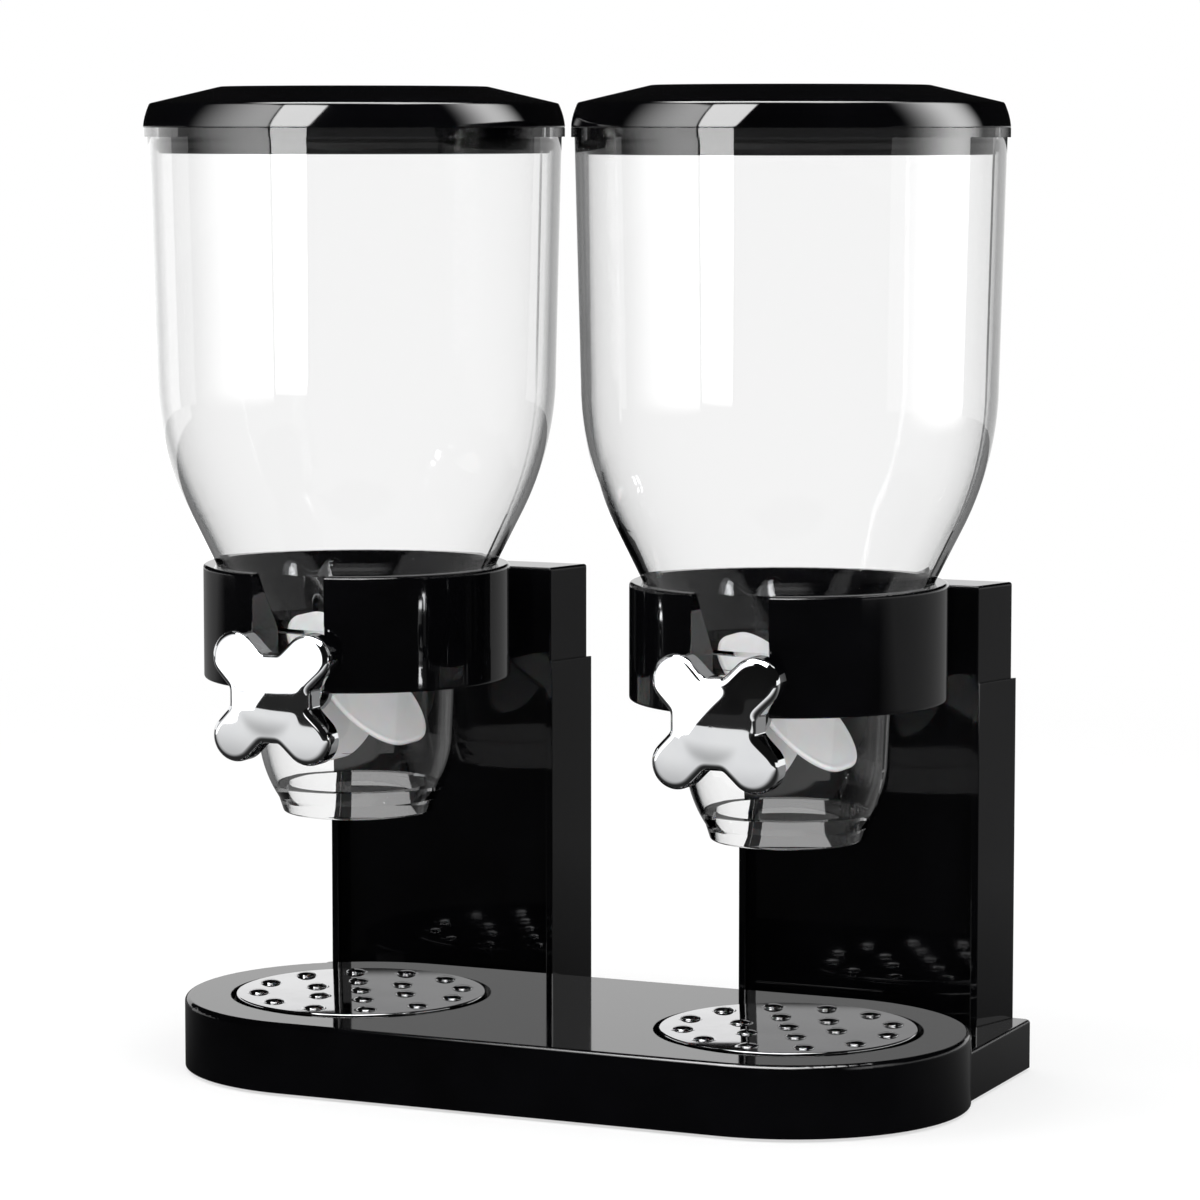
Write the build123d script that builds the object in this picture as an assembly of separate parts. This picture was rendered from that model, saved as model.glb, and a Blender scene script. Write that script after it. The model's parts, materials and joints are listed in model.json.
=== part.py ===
"""Double dry-food dispenser with two lift-off hoppers and knob-driven paddle wheels.

Units are millimetres. X points to the viewer's right, Y to the back and Z up.
Each dispensing unit is drawn round its own vertical axis with the table at Z = 0.
The finished pieces are then moved so that the origin is the centre of the whole
object's footprint on the table.
"""

import os
from math import atan2, cos, radians, sin, tan

from build123d import *

# Layout of the two units on their stand
unit_spacing = 176.0
side_of = {"left": -1, "right": 1}

# Feet and underside
foot_gap = 1.2
foot_radius = 8.0
foot_thickness = 2.0
foot_inset = 18.0
plate_thickness = 2.2
plate_screw_inset = 13.0
fit_gap = 0.2

# Tray: the raised front of the stand, a bar with round ends
tray_height = 27.5
tray_radius = 67.2
tray_setback = 1.5
tray_edge_round = 2.0
base_wall = 2.8
rib_thickness = 2.0
rib_pitch = 58.0
rib_drop = 7.0

# Plinth: the lower, square-ended back of the stand, which carries the columns
plinth_height = 19.5
plinth_overhang = 62.4
plinth_depth = 26.8
plinth_corner_round = 3.0
plinth_edge_round = 1.2

# Round dish let into each end of the tray
dish_radius = 47.7
dish_groove = 2.0
dish_pocket_depth = 4.0
dish_thickness = 4.8
dish_edge_break = 0.7
dome_radius = 4.3
dome_height = 1.3
dome_rings = ((1, 0.0), (6, 19.0), (12, 39.0))

# Column behind each dish: plan is wider at the back than at the front
column_height = 130.5
column_gap_to_tray = 2.8
column_depth = 22.8
column_front_width = 97.0
column_back_width = 110.0
column_wall = 2.6
column_end_plate = 3.0
panel_recess = 5.5
panel_thickness = 2.2
panel_rib = 2.5
post_width = 12.0
post_depth = 10.0
post_height = 11.0

# Collar bracket: split ring that the hopper drops into, with its arm and block
collar_radius = 58.0
collar_height = 43.0
collar_wall = 2.8
collar_edge_round = 1.2
slot_width = 29.8
arm_height = 36.5
arm_inset = 0.8
arm_wall = 3.0
arm_edge_round = 1.0
neck_width = 60.0
collar_rib_angles = (-45, 0, 45, 135, 180, 225)
seat_gap = 0.3

# Hopper: bowl, seat cone and spigot
hopper_wall = 2.2
hopper_height = 164.0
hopper_top_radius = 77.8
hopper_flange_thickness = 3.4
hopper_flange_reach = 1.2
bowl_draft = 2.2
bowl_top_above_collar = 73.0
bowl_overshoot = 13.9
seat_top_radius = 53.0
seat_bottom_above_collar_foot = 21.0
shoulder_above_collar_foot = 14.0
spigot_length = 8.0
spigot_gap = 0.1

# Chute: clear cup round the paddle wheel
chute_radius = 38.5
chute_wall = 2.2
chute_drop = 51.5
chute_waist_drop = 25.0
chute_waist_radius = 37.4
chute_bulge = 1.4
mouth_outer_radius = 30.0
mouth_foot_radius = 28.2
mouth_radius = 26.5
mouth_rim_height = 11.0
mouth_edge_round = 1.2
boss_front_radius = 6.4
boss_back_radius = 9.0
boss_length = 12.0
rear_boss_radius = 6.5
rear_boss_length = 6.0
rear_boss_floor = 0.4

# Shaft, bushes and the running fits in them
shaft_drop = 1.0
journal_radius = 3.0
rear_journal_radius = 2.2
hex_across_flats = 5.0
running_gap = 0.05
bush_wall = 1.9
bush_flange = 1.4
bush_flange_thickness = 1.2
bush_reach = 2.5
rear_bush_wall = 1.3
rear_bush_floor = 0.8
shaft_shoulder_gap = 0.5

# Paddle wheel
hub_radius = 5.2
vane_count = 6
vane_tip_gap = 3.8
wheel_end_gap = 1.3
vane_thickness = 2.0
vane_tip_flat = 10.0
vane_start_angle = 46.0

# Knob
knob_gap = 4.0
knob_thickness = 12.0
knob_lobe_radius = 9.2
knob_lobe_offset = 15.0
knob_waist = 33.0
knob_valley_round = 3.0
knob_edge_round = 2.6
knob_crown_height = 2.4
knob_dish_radius = 13.5
knob_dish_depth = 1.5
knob_bore_depth = 9.0

# Lid, its plug and its seal
lid_wall = 2.2
lid_rim_height = 9.0
lid_rim_draft = 2.4
lid_slope_run = 26.6
lid_rise = 6.3
lid_edge_round = 1.0
lid_rib_height = 3.2
plug_wall = 3.2
plug_depth = 9.5
plug_floor = 2.0
plug_gap = 2.3
seal_height = 4.4
seal_above_plug_foot = 0.9
seal_groove_depth = 1.5
seal_gap = 0.3
seal_edge_break = 1.2

# Screws
screw_radius = 1.5
screw_head_radius = 2.8
screw_head_height = 1.4
screw_length = 10.0
screw_boss_radius = 4.2
screw_gap = 0.1
screw_bite = 0.05
screw_hole_spare = 0.4
screw_seat_depth = 1.5

# Heights worked out from the sizes above
plate_top_z = foot_gap + plate_thickness
collar_foot_z = plinth_height + column_height
collar_top_z = collar_foot_z + collar_height
arm_top_z = collar_foot_z + arm_height
hopper_top_z = collar_top_z + hopper_height
seat_bottom_z = collar_foot_z + seat_bottom_above_collar_foot
shoulder_z = collar_foot_z + shoulder_above_collar_foot
shaft_z = collar_foot_z - shaft_drop
mouth_z = collar_foot_z - chute_drop
dish_floor_z = tray_height - dish_pocket_depth

# Widths worked out from the sizes above
bowl_radius = hopper_top_radius - bowl_draft
lid_radius = hopper_top_radius + hopper_flange_reach
lid_rim_top_radius = lid_radius - lid_rim_draft
lid_plateau_radius = lid_rim_top_radius - lid_slope_run
vane_reach = chute_radius - chute_wall - vane_tip_gap
vane_half_width = chute_radius - chute_wall - rear_boss_length - wheel_end_gap
vane_corner = vane_half_width - vane_tip_flat / 2

# Places along Y, measured from the axis of a unit
tray_back_y = tray_setback + tray_radius
column_front_y = tray_back_y + column_gap_to_tray
column_back_y = column_front_y + column_depth
plinth_back_y = tray_back_y + plinth_depth
panel_front_y = column_front_y + panel_recess
panel_back_y = panel_front_y + panel_thickness
knob_back_y = -(collar_radius + knob_gap)
knob_front_y = knob_back_y - knob_thickness
boss_front_y = -(chute_radius + boss_length)
rear_boss_y = chute_radius - chute_wall - rear_boss_length
footprint_centre_y = (plinth_back_y - lid_radius) / 2

UPWARD = (Align.CENTER, Align.CENTER, Align.MIN)
HEX_RADIUS = hex_across_flats / 2 / cos(radians(30))
OVERCUT = 1.0


def post(radius: float, bottom: float, top: float) -> Part:
    """Upright cylinder on the Z axis between two heights."""
    return Pos(0, 0, bottom) * Cylinder(radius, top - bottom, align=UPWARD)


def rod(radius: float, front: float, back: float, height: float = 0.0) -> Part:
    """Cylinder along Y between two depths."""
    return Pos(0, front, height) * Rot(-90, 0, 0) * Cylinder(radius, back - front, align=UPWARD)


def slab(x_range: tuple, y_range: tuple, z_range: tuple) -> Part:
    """Box given by its low and high values along each axis."""
    (x_low, x_high), (y_low, y_high), (z_low, z_high) = x_range, y_range, z_range
    size = Box(x_high - x_low, y_high - y_low, z_high - z_low, align=(Align.MIN,) * 3)
    return Pos(x_low, y_low, z_low) * size


def cap_ball_radius(rim_radius: float, height: float) -> float:
    """Radius of the ball whose cap has the given rim radius and height."""
    return (rim_radius**2 + height**2) / (2 * height)


def outline(*lines) -> Sketch:
    """Face inside a closed run of lines and arcs."""
    return make_face([edge for line in lines for edge in line.edges()])


def polygon(*corners: tuple) -> Sketch:
    """Face inside straight lines between the corners."""
    return outline(Polyline(*corners, close=True))


def rounded(face: Sketch, corner: tuple, radius: float) -> Sketch:
    """Round the corner of a face that lies nearest to a point."""
    nearest = face.vertices().sort_by_distance(Vector(*corner))[0]
    return fillet(nearest, radius)


def turned(face: Sketch) -> Part:
    """Turn a face drawn as (radius, height) about the Z axis."""
    return revolve(Plane.XZ * face, Axis.Z)


def prism(face: Sketch, bottom: float, top: float) -> Part:
    """Raise a plan to a solid between two heights."""
    return extrude(Pos(0, 0, bottom) * face, top - bottom)


def stadium(radius: float) -> Sketch:
    """Plan of a bar with round ends, centred between the two units."""
    bar = SlotCenterToCenter(unit_spacing, 2 * radius)
    return Pos(0, tray_setback) * bar


def plinth_plan(inset: float) -> Sketch:
    """Plan of the stand's square-ended back, drawn in by an inset."""
    half_width = unit_spacing / 2 + plinth_overhang - inset
    depth = plinth_back_y - inset - tray_setback
    plan = Rectangle(2 * half_width, depth, align=(Align.CENTER, Align.MIN))
    return Pos(0, tray_setback) * plan


def column_plan(inset: float, front: float, back: float) -> Sketch:
    """Plan of a column between two depths, its slanted sides drawn in by an inset."""
    flare = (column_back_width - column_front_width) / 2 / column_depth
    slant = inset * (1 + flare**2) ** 0.5

    def half_width(depth: float) -> float:
        return column_front_width / 2 + flare * (depth - column_front_y) - slant

    return polygon(
        (-half_width(front), front),
        (half_width(front), front),
        (half_width(back), back),
        (-half_width(back), back),
    )


def screw() -> Part:
    """Pan-head screw with its head's underside at Z = 0 and its shank upwards."""
    head = post(screw_head_radius, -screw_head_height, 0)
    return head + post(screw_radius, 0, screw_length)


def plate_screw_places() -> list:
    """Plan positions of the screws that hold the bottom plate."""
    end_x = unit_spacing / 2 + plinth_overhang - plate_screw_inset
    middle_x = unit_spacing / 4
    back_y = plinth_back_y - plate_screw_inset
    front_y = tray_setback - tray_radius + plate_screw_inset
    one_side = ((end_x, back_y), (middle_x / 2, back_y), (middle_x, front_y))
    return [(side * x, y) for side in (-1, 1) for x, y in one_side]


def foot_places() -> list:
    """Plan positions of the rubber feet."""
    front_y = tray_setback - tray_radius + foot_inset
    back_y = plinth_back_y - foot_inset
    return [(x, y) for y in (front_y, back_y) for x in (-unit_spacing / 2, 0.0, unit_spacing / 2)]


def column_screw_places() -> list:
    """Positions, from a unit's axis, of the screws that hold a column down."""
    middle_y = (panel_back_y + column_back_y) / 2
    return [(side * column_front_width / 3, middle_y) for side in (-1, 1)]


def base_shell() -> Part:
    """Open-bottomed stand: tray and plinth in one moulding with ribs and bosses."""
    tray = prism(stadium(tray_radius), foot_gap, tray_height)
    tray = fillet(tray.edges().group_by(Axis.Z)[-1], tray_edge_round)
    plinth = prism(plinth_plan(0), foot_gap, plinth_height)
    back_corners = plinth.edges().filter_by(Axis.Z).sort_by(Axis.Y)[-2:]
    plinth = fillet(back_corners, plinth_corner_round)
    plinth = fillet(plinth.edges().group_by(Axis.Z)[-1], plinth_edge_round)

    hollow = prism(stadium(tray_radius - base_wall), 0, tray_height - base_wall)
    hollow += prism(plinth_plan(base_wall), 0, plinth_height - base_wall)
    pocket_radius = dish_radius + dish_groove
    for side in (-1, 1):
        centre = Pos(side * unit_spacing / 2, tray_setback, 0)
        hollow -= centre * post(pocket_radius + base_wall, dish_floor_z - base_wall, tray_height)

    rib_count = int(unit_spacing / 2 // rib_pitch)
    rib_floor = dish_floor_z - base_wall - rib_drop
    for step in range(-rib_count, rib_count + 1):
        middle = step * rib_pitch
        span = (middle - rib_thickness / 2, middle + rib_thickness / 2)
        hollow -= slab(span, (-tray_radius, tray_back_y), (rib_floor, tray_height))
    for x, y in plate_screw_places():
        hollow -= Pos(x, y, 0) * post(screw_boss_radius, plate_top_z, tray_height)

    shell = tray + plinth - hollow
    for side in (-1, 1):
        axis = Pos(side * unit_spacing / 2, 0, 0)
        shell -= axis * Pos(0, tray_setback, 0) * post(pocket_radius, dish_floor_z, tray_height + OVERCUT)
        for x, y in column_screw_places():
            shell -= axis * Pos(x, y, 0) * post(screw_radius + screw_gap, 0, plinth_height + OVERCUT)
    hole_top = plate_screw_seat_z() + screw_length + screw_hole_spare
    for x, y in plate_screw_places():
        shell -= Pos(x, y, 0) * post(screw_radius + screw_bite, 0, hole_top)
    return shell


def plate_screw_seat_z() -> float:
    """Height of the sunk seats under the bottom plate's screws."""
    return foot_gap + plate_thickness / 2


def base_plate() -> Part:
    """Flat plate that closes the stand from below, with seats for feet and screws."""
    inset = base_wall + fit_gap
    plan = stadium(tray_radius - inset) + plinth_plan(inset)
    plate = prism(plan, foot_gap, plate_top_z)
    for x, y in foot_places():
        plate -= Pos(x, y, 0) * post(foot_radius + fit_gap, 0, foot_thickness)
    for x, y in plate_screw_places():
        plate -= Pos(x, y, 0) * post(screw_head_radius + fit_gap, 0, plate_screw_seat_z())
        plate -= Pos(x, y, 0) * post(screw_radius + screw_gap, 0, plate_top_z)
    return plate


def rubber_feet() -> list:
    """Round feet that stand proud of the bottom plate."""
    foot = post(foot_radius, 0, foot_thickness)
    foot = chamfer(foot.edges().group_by(Axis.Z)[0], foot_gap / 2)
    return [Pos(x, y, 0) * foot for x, y in foot_places()]


def base_screws() -> list:
    """Screws up through the bottom plate into the stand."""
    return [Pos(x, y, plate_screw_seat_z()) * screw() for x, y in plate_screw_places()]


def column_screws() -> list:
    """Screws up through the plinth into one column."""
    seat_z = plinth_height - base_wall
    return [Pos(x, y, seat_z) * screw() for x, y in column_screw_places()]


def column() -> Part:
    """Hollow column, open to the front between its side flanges."""
    bottom, top = plinth_height, collar_foot_z
    body = prism(column_plan(0, column_front_y, column_back_y), bottom, top)
    rib_back_y = panel_back_y + panel_rib
    front_cut = column_plan(column_wall, column_front_y - OVERCUT, panel_back_y)
    body -= prism(front_cut, bottom - OVERCUT, top + OVERCUT)
    between_ribs = column_plan(column_wall + panel_rib, panel_back_y - OVERCUT, rib_back_y)
    behind_ribs = column_plan(column_wall, rib_back_y, column_back_y - column_wall)
    for plan in (between_ribs, behind_ribs):
        body -= prism(plan, bottom + column_end_plate, top - column_end_plate)
    hole_top = plinth_height - base_wall + screw_length + screw_hole_spare
    for x, y in column_screw_places():
        place = Pos(x, y, 0)
        body += place * post(screw_boss_radius, bottom, hole_top + column_wall)
        body -= place * post(screw_radius + screw_bite, bottom - OVERCUT, hole_top)
    hole_front = bracket_screw_seat() - screw_length - screw_hole_spare
    for place in post_places():
        body += place * slab((-post_width / 2, post_width / 2), (-post_depth, 0), (0, post_height))
        body -= place * rod(screw_radius + screw_bite, hole_front, OVERCUT, post_height / 2)
    return body


def post_places() -> list:
    """Places of the two posts on a column's top, at the middle of their back faces."""
    back = column_back_y - arm_inset - arm_wall - fit_gap
    return [Pos(side * column_front_width / 3, back, collar_foot_z) for side in (-1, 1)]


def bracket_screw_seat() -> float:
    """Depth, behind a post's back face, at which a bracket screw's head is seated."""
    return fit_gap + arm_wall - screw_seat_depth


def column_panel() -> Part:
    """Glossy front panel set back between the column's flanges."""
    plan = column_plan(column_wall + fit_gap / 2, panel_front_y, panel_back_y)
    return prism(plan, plinth_height, collar_foot_z)


def seat_radius(height: float) -> float:
    """Outer radius of the hopper's seat cone at a height."""
    slope = (seat_top_radius - chute_radius) / (collar_top_z - seat_bottom_z)
    return chute_radius + slope * (height - seat_bottom_z)


def collar_bore(wall: float) -> Part:
    """Solid that fills the collar's bore, grown by a wall."""
    reach = seat_gap + wall
    low, high = collar_foot_z - OVERCUT, collar_top_z + OVERCUT
    face = polygon(
        (0, low),
        (chute_radius + reach, low),
        (chute_radius + reach, seat_bottom_z),
        (seat_radius(high) + reach, high),
        (0, high),
    )
    return turned(face)


def bracket() -> Part:
    """Split collar on its arm, one moulding hollowed from below."""
    bottom, top = collar_foot_z, collar_top_z
    profile = polygon((0, bottom), (collar_radius, bottom), (collar_radius, top), (0, top))
    profile = rounded(profile, (collar_radius, top), collar_edge_round)
    profile = rounded(profile, (collar_radius, bottom), collar_edge_round)
    ring = turned(profile)
    block_back = column_back_y - arm_inset
    block = prism(column_plan(arm_inset, column_front_y, block_back), bottom, arm_top_z)
    block = fillet(block.edges().filter_by(Axis.Z), arm_edge_round)
    block = fillet(block.edges().group_by(Axis.Z)[-1], arm_edge_round)
    half_neck = neck_width / 2
    neck = slab((-half_neck, half_neck), (0, column_front_y + arm_wall), (bottom, arm_top_z))

    void_foot, arm_ceiling = bottom - OVERCUT, arm_top_z - arm_wall
    block_inside = column_plan(arm_inset + arm_wall, column_front_y + arm_wall, block_back - arm_wall)
    neck_inside = (arm_wall - half_neck, half_neck - arm_wall)
    void = post(collar_radius - collar_wall, void_foot, top - collar_wall)
    void += prism(block_inside, void_foot, arm_ceiling)
    void += slab(neck_inside, (0, column_front_y), (void_foot, arm_ceiling))
    void -= collar_bore(collar_wall)
    half_slot = slot_width / 2
    slot_side = half_slot + collar_wall
    void -= slab((-slot_side, slot_side), (-collar_radius, 0), (void_foot, top))
    rib = slab((0, collar_radius), (-rib_thickness / 2, rib_thickness / 2), (bottom + rib_drop, top))
    for angle in collar_rib_angles:
        void -= Rot(0, 0, angle) * rib

    body = ring + neck + block - void - collar_bore(0)
    front = -collar_radius - OVERCUT
    body -= slab((-half_slot, half_slot), (front, 0), (bottom - OVERCUT, top + OVERCUT))
    screw_height, outside = post_height / 2, fit_gap + arm_wall + OVERCUT
    for place in post_places():
        body -= place * rod(screw_radius + screw_gap, -OVERCUT, outside, screw_height)
        body -= place * rod(screw_head_radius + fit_gap, bracket_screw_seat(), outside, screw_height)
    return body


def bracket_screws() -> list:
    """Screws from behind, through the bracket's block into the column's posts."""
    seat = Pos(0, bracket_screw_seat(), post_height / 2)
    return [place * seat * Rot(90, 0, 0) * screw() for place in post_places()]


def dish() -> Part:
    """Round dish in the tray with rings of low domes."""
    top = dish_floor_z + dish_thickness
    disc = post(dish_radius, dish_floor_z, top)
    disc = chamfer(disc.edges().group_by(Axis.Z)[-1], dish_edge_break)
    ball_radius = cap_ball_radius(dome_radius, dome_height)
    ball = Pos(0, 0, top + dome_height - ball_radius) * Sphere(ball_radius)
    across = (-ball_radius, ball_radius)
    dome = ball & slab(across, across, (top - dome_height / 2, top + 2 * dome_height))
    for count, ring_radius in dome_rings:
        for step in range(count):
            disc += Rot(0, 0, step * 360 / count) * Pos(ring_radius, 0, 0) * dome
    return Pos(0, tray_setback, 0) * disc


def bowl_lines(offset: float, top_radius: float, top_z: float) -> list:
    """Hopper wall from the collar's top up: cone, bowl curve and nearly upright side."""
    angle = atan2(bowl_radius + bowl_overshoot - seat_top_radius, bowl_top_above_collar)
    bowl_top_z = collar_top_z + bowl_top_above_collar
    curve = bowl_overshoot / (tan(angle) * sin(angle) - (1 - cos(angle)))
    centre_x = bowl_radius - curve
    reach = curve - offset

    def on_curve(turn: float) -> tuple:
        return (centre_x + reach * cos(turn), bowl_top_z - reach * sin(turn))

    foot = (seat_top_radius - offset / cos(angle), collar_top_z)
    cone = Line(foot, on_curve(angle))
    bowl = ThreePointArc(on_curve(angle), on_curve(angle / 2), on_curve(0))
    side = Line(on_curve(0), (top_radius - offset, top_z))
    return [cone, bowl, side]


def hopper_outside() -> Part:
    """Hopper with its inside filled."""
    spigot_radius = chute_radius - chute_wall - spigot_gap
    flange_foot = hopper_top_z - hopper_flange_thickness
    lower = Polyline(
        (0, hopper_top_z),
        (0, shoulder_z - spigot_length),
        (spigot_radius, shoulder_z - spigot_length),
        (spigot_radius, shoulder_z),
        (chute_radius, shoulder_z),
        (chute_radius, seat_bottom_z),
        (seat_top_radius, collar_top_z),
    )
    flange = Polyline(
        (hopper_top_radius, flange_foot),
        (lid_radius, flange_foot),
        (lid_radius, hopper_top_z),
        (0, hopper_top_z),
    )
    return turned(outline(lower, *bowl_lines(0, hopper_top_radius, flange_foot), flange))


def hopper() -> Part:
    """Clear bowl that narrows to a spigot for the chute."""
    bore_radius = chute_radius - chute_wall - spigot_gap - hopper_wall
    side = bowl_lines(hopper_wall, hopper_top_radius, hopper_top_z)
    lower = Polyline(
        (0, hopper_top_z),
        (0, shoulder_z - spigot_length),
        (bore_radius, shoulder_z - spigot_length),
        (bore_radius, seat_bottom_z - hopper_wall),
        side[0] @ 0,
    )
    top = Line(side[-1] @ 1, (0, hopper_top_z))
    return hopper_outside() - turned(outline(lower, *side, top))


def chute_side(offset: float) -> list:
    """Chute wall from its top down to the mouth's rim."""
    waist = (chute_waist_radius - offset, collar_foot_z - chute_waist_drop)
    rim = (mouth_outer_radius - offset, mouth_z + mouth_rim_height / 2)
    middle = (
        (chute_waist_radius + mouth_outer_radius) / 2 + chute_bulge - offset,
        (waist[1] + rim[1]) / 2,
    )
    upright = Polyline(
        (chute_radius - offset, shoulder_z),
        (chute_radius - offset, collar_foot_z - shaft_drop),
        waist,
    )
    return [upright, ThreePointArc(waist, middle, rim)]


def chute() -> Part:
    """Clear cup with a thick mouth, a front boss for the shaft and a blind rear boss."""
    rim_z = mouth_z + mouth_rim_height / 2
    outer = outline(
        *chute_side(0),
        Polyline(
            (mouth_outer_radius, rim_z),
            (mouth_foot_radius, mouth_z),
            (0, mouth_z),
            (0, shoulder_z),
            (chute_radius, shoulder_z),
        ),
    )
    outer = rounded(outer, (mouth_foot_radius, mouth_z), mouth_edge_round)
    inner = outline(
        *chute_side(chute_wall),
        Polyline(
            (mouth_outer_radius - chute_wall, rim_z),
            (0, rim_z),
            (0, shoulder_z),
            (chute_radius - chute_wall, shoulder_z),
        ),
    )
    rim_top_z = mouth_z + mouth_rim_height
    hollow = turned(inner) - post(mouth_outer_radius + chute_wall, mouth_z, rim_top_z)
    cup = turned(outer)
    front = Pos(0, boss_front_y, shaft_z) * Rot(-90, 0, 0)
    cup += front * Cone(boss_front_radius, boss_back_radius, boss_length + chute_wall, align=UPWARD)
    cup -= hollow + post(mouth_radius, mouth_z - OVERCUT, rim_top_z + OVERCUT)
    cup += rod(rear_boss_radius, rear_boss_y, chute_radius - chute_wall / 2, shaft_z)
    cup -= rod(journal_radius + bush_wall + running_gap, boss_front_y - OVERCUT, 0, shaft_z)
    socket_back = rear_boss_y + rear_boss_length - rear_boss_floor
    cup -= rod(rear_bush_radius() + running_gap, rear_boss_y - OVERCUT, socket_back, shaft_z)
    return cup


def front_bush() -> Part:
    """Flanged sleeve that carries the shaft in the chute's front boss."""
    sleeve_back = -(chute_radius - chute_wall) + bush_reach
    sleeve = rod(journal_radius + bush_wall, boss_front_y, sleeve_back, shaft_z)
    flange_front = boss_front_y - bush_flange_thickness
    sleeve += rod(journal_radius + bush_wall + bush_flange, flange_front, boss_front_y, shaft_z)
    bore = rod(journal_radius + running_gap, flange_front - OVERCUT, sleeve_back + OVERCUT, shaft_z)
    return sleeve - bore


def rear_bush_radius() -> float:
    """Outer radius of the rear bush."""
    return rear_journal_radius + running_gap + rear_bush_wall


def rear_bush_back() -> float:
    """Depth of the rear bush's closed end."""
    return rear_boss_y + rear_boss_length - rear_boss_floor - running_gap


def rear_bush() -> Part:
    """Blind sleeve that carries the shaft's rear end."""
    sleeve = rod(rear_bush_radius(), rear_boss_y, rear_bush_back(), shaft_z)
    floor_y = rear_bush_back() - rear_bush_floor
    return sleeve - rod(rear_journal_radius + running_gap, rear_boss_y - OVERCUT, floor_y, shaft_z)


def hex_bar(front: float, back: float) -> Part:
    """Six-sided bar along Y on the shaft's axis."""
    section = RegularPolygon(HEX_RADIUS, 6)
    return Pos(0, front, shaft_z) * Rot(-90, 0, 0) * extrude(section, back - front)


def drive_shaft() -> Part:
    """Stepped shaft: hexagon for the knob, journal, hexagon for the wheel, rear journal."""
    journal_back = -(chute_radius - chute_wall) + bush_reach + shaft_shoulder_gap
    wheel_back = vane_half_width + shaft_shoulder_gap
    shaft_back = rear_bush_back() - rear_bush_floor - fit_gap
    shaft = hex_bar(knob_back_y - knob_bore_depth, knob_back_y)
    shaft += rod(journal_radius, knob_back_y, journal_back, shaft_z)
    shaft += hex_bar(journal_back, wheel_back)
    shaft += rod(rear_journal_radius, wheel_back, shaft_back, shaft_z)
    return shaft


def paddle_wheel() -> Part:
    """Soft wheel: hub with six vanes rounded to sweep the round chute."""
    half = vane_half_width
    plan = Rectangle(vane_reach, 2 * half, align=(Align.MIN, Align.CENTER))
    for side in (-1, 1):
        plan = rounded(plan, (vane_reach, side * half), vane_corner)
    vane = extrude(plan, vane_thickness / 2, both=True)
    wheel = rod(hub_radius, -half, half)
    for step in range(vane_count):
        wheel += Rot(0, vane_start_angle + step * 360 / vane_count, 0) * vane
    wheel = Pos(0, 0, shaft_z) * wheel
    return wheel - hex_bar(-half - OVERCUT, half + OVERCUT)


def knob_lobe_reach() -> float:
    """Distance from the knob's axis to the tip of a lobe."""
    return 2**0.5 * knob_lobe_offset + knob_lobe_radius


def knob() -> Part:
    """Four-lobed knob with a slightly crowned front, a rounded edge and a shallow dish."""
    lobe_run = 2 * 2**0.5 * knob_lobe_offset
    plan = Rectangle(knob_waist, knob_waist)
    for angle in (45, -45):
        plan += SlotCenterToCenter(lobe_run, 2 * knob_lobe_radius, rotation=angle)
    valley_half_width = knob_waist / 2 - 2**0.5 * knob_lobe_radius
    corners = [v for v in plan.vertices() if min(abs(v.X), abs(v.Y)) < 2 * valley_half_width]
    plan = fillet(corners, knob_valley_round)
    body = extrude(Plane.XZ.offset(-knob_back_y) * plan, knob_thickness)
    crown = cap_ball_radius(knob_lobe_reach(), knob_crown_height)
    body &= Pos(0, knob_front_y + crown, 0) * Sphere(crown)
    body = fillet(body.faces().sort_by(Axis.Y)[0].edges(), knob_edge_round)
    ball = cap_ball_radius(knob_dish_radius, knob_dish_depth)
    body -= Pos(0, knob_front_y - ball + knob_dish_depth, 0) * Sphere(ball)
    body = Pos(0, 0, shaft_z) * body
    return body - hex_bar(knob_back_y - knob_bore_depth, knob_back_y + OVERCUT)


def lid_cover() -> Part:
    """Hollow lid: drafted rim, gentle slope and flat top, with a rib for the plug."""
    foot, shoulder = hopper_top_z, hopper_top_z + lid_rim_height
    top = shoulder + lid_rise
    face = polygon(
        (0, foot),
        (lid_radius, foot),
        (lid_rim_top_radius, shoulder),
        (lid_plateau_radius, top),
        (0, top),
    )
    face = rounded(face, (lid_rim_top_radius, shoulder), lid_edge_round)
    face = rounded(face, (lid_plateau_radius, top), lid_edge_round)
    cavity = polygon(
        (0, foot - OVERCUT),
        (lid_radius - lid_wall, foot - OVERCUT),
        (lid_rim_top_radius - lid_wall, shoulder - lid_wall),
        (lid_plateau_radius, top - lid_wall),
        (0, top - lid_wall),
    )
    rib_outer = plug_radius()
    rib_inner = rib_outer - plug_wall + fit_gap
    rib = post(rib_outer, plug_top_z(), shoulder) - post(rib_inner, foot, top)
    return turned(face) - turned(cavity) + rib


def plug_radius() -> float:
    """Outer radius of the lid's plug, inside the hopper's mouth."""
    return hopper_top_radius - hopper_wall - plug_gap


def plug_top_z() -> float:
    """Height at which the plug meets the lid's rib."""
    return hopper_top_z + lid_rim_height - lid_rib_height


def lid_plug() -> Part:
    """Cup under the lid with a groove for the seal."""
    foot = hopper_top_z - plug_depth
    radius = plug_radius()
    inside = post(radius - plug_wall, foot + plug_floor, plug_top_z() + OVERCUT)
    groove_foot = foot + seal_above_plug_foot
    groove = post(radius + OVERCUT, groove_foot, groove_foot + seal_height)
    groove -= post(radius - seal_groove_depth, foot, plug_top_z())
    return post(radius, foot, plug_top_z()) - inside - groove


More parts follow.
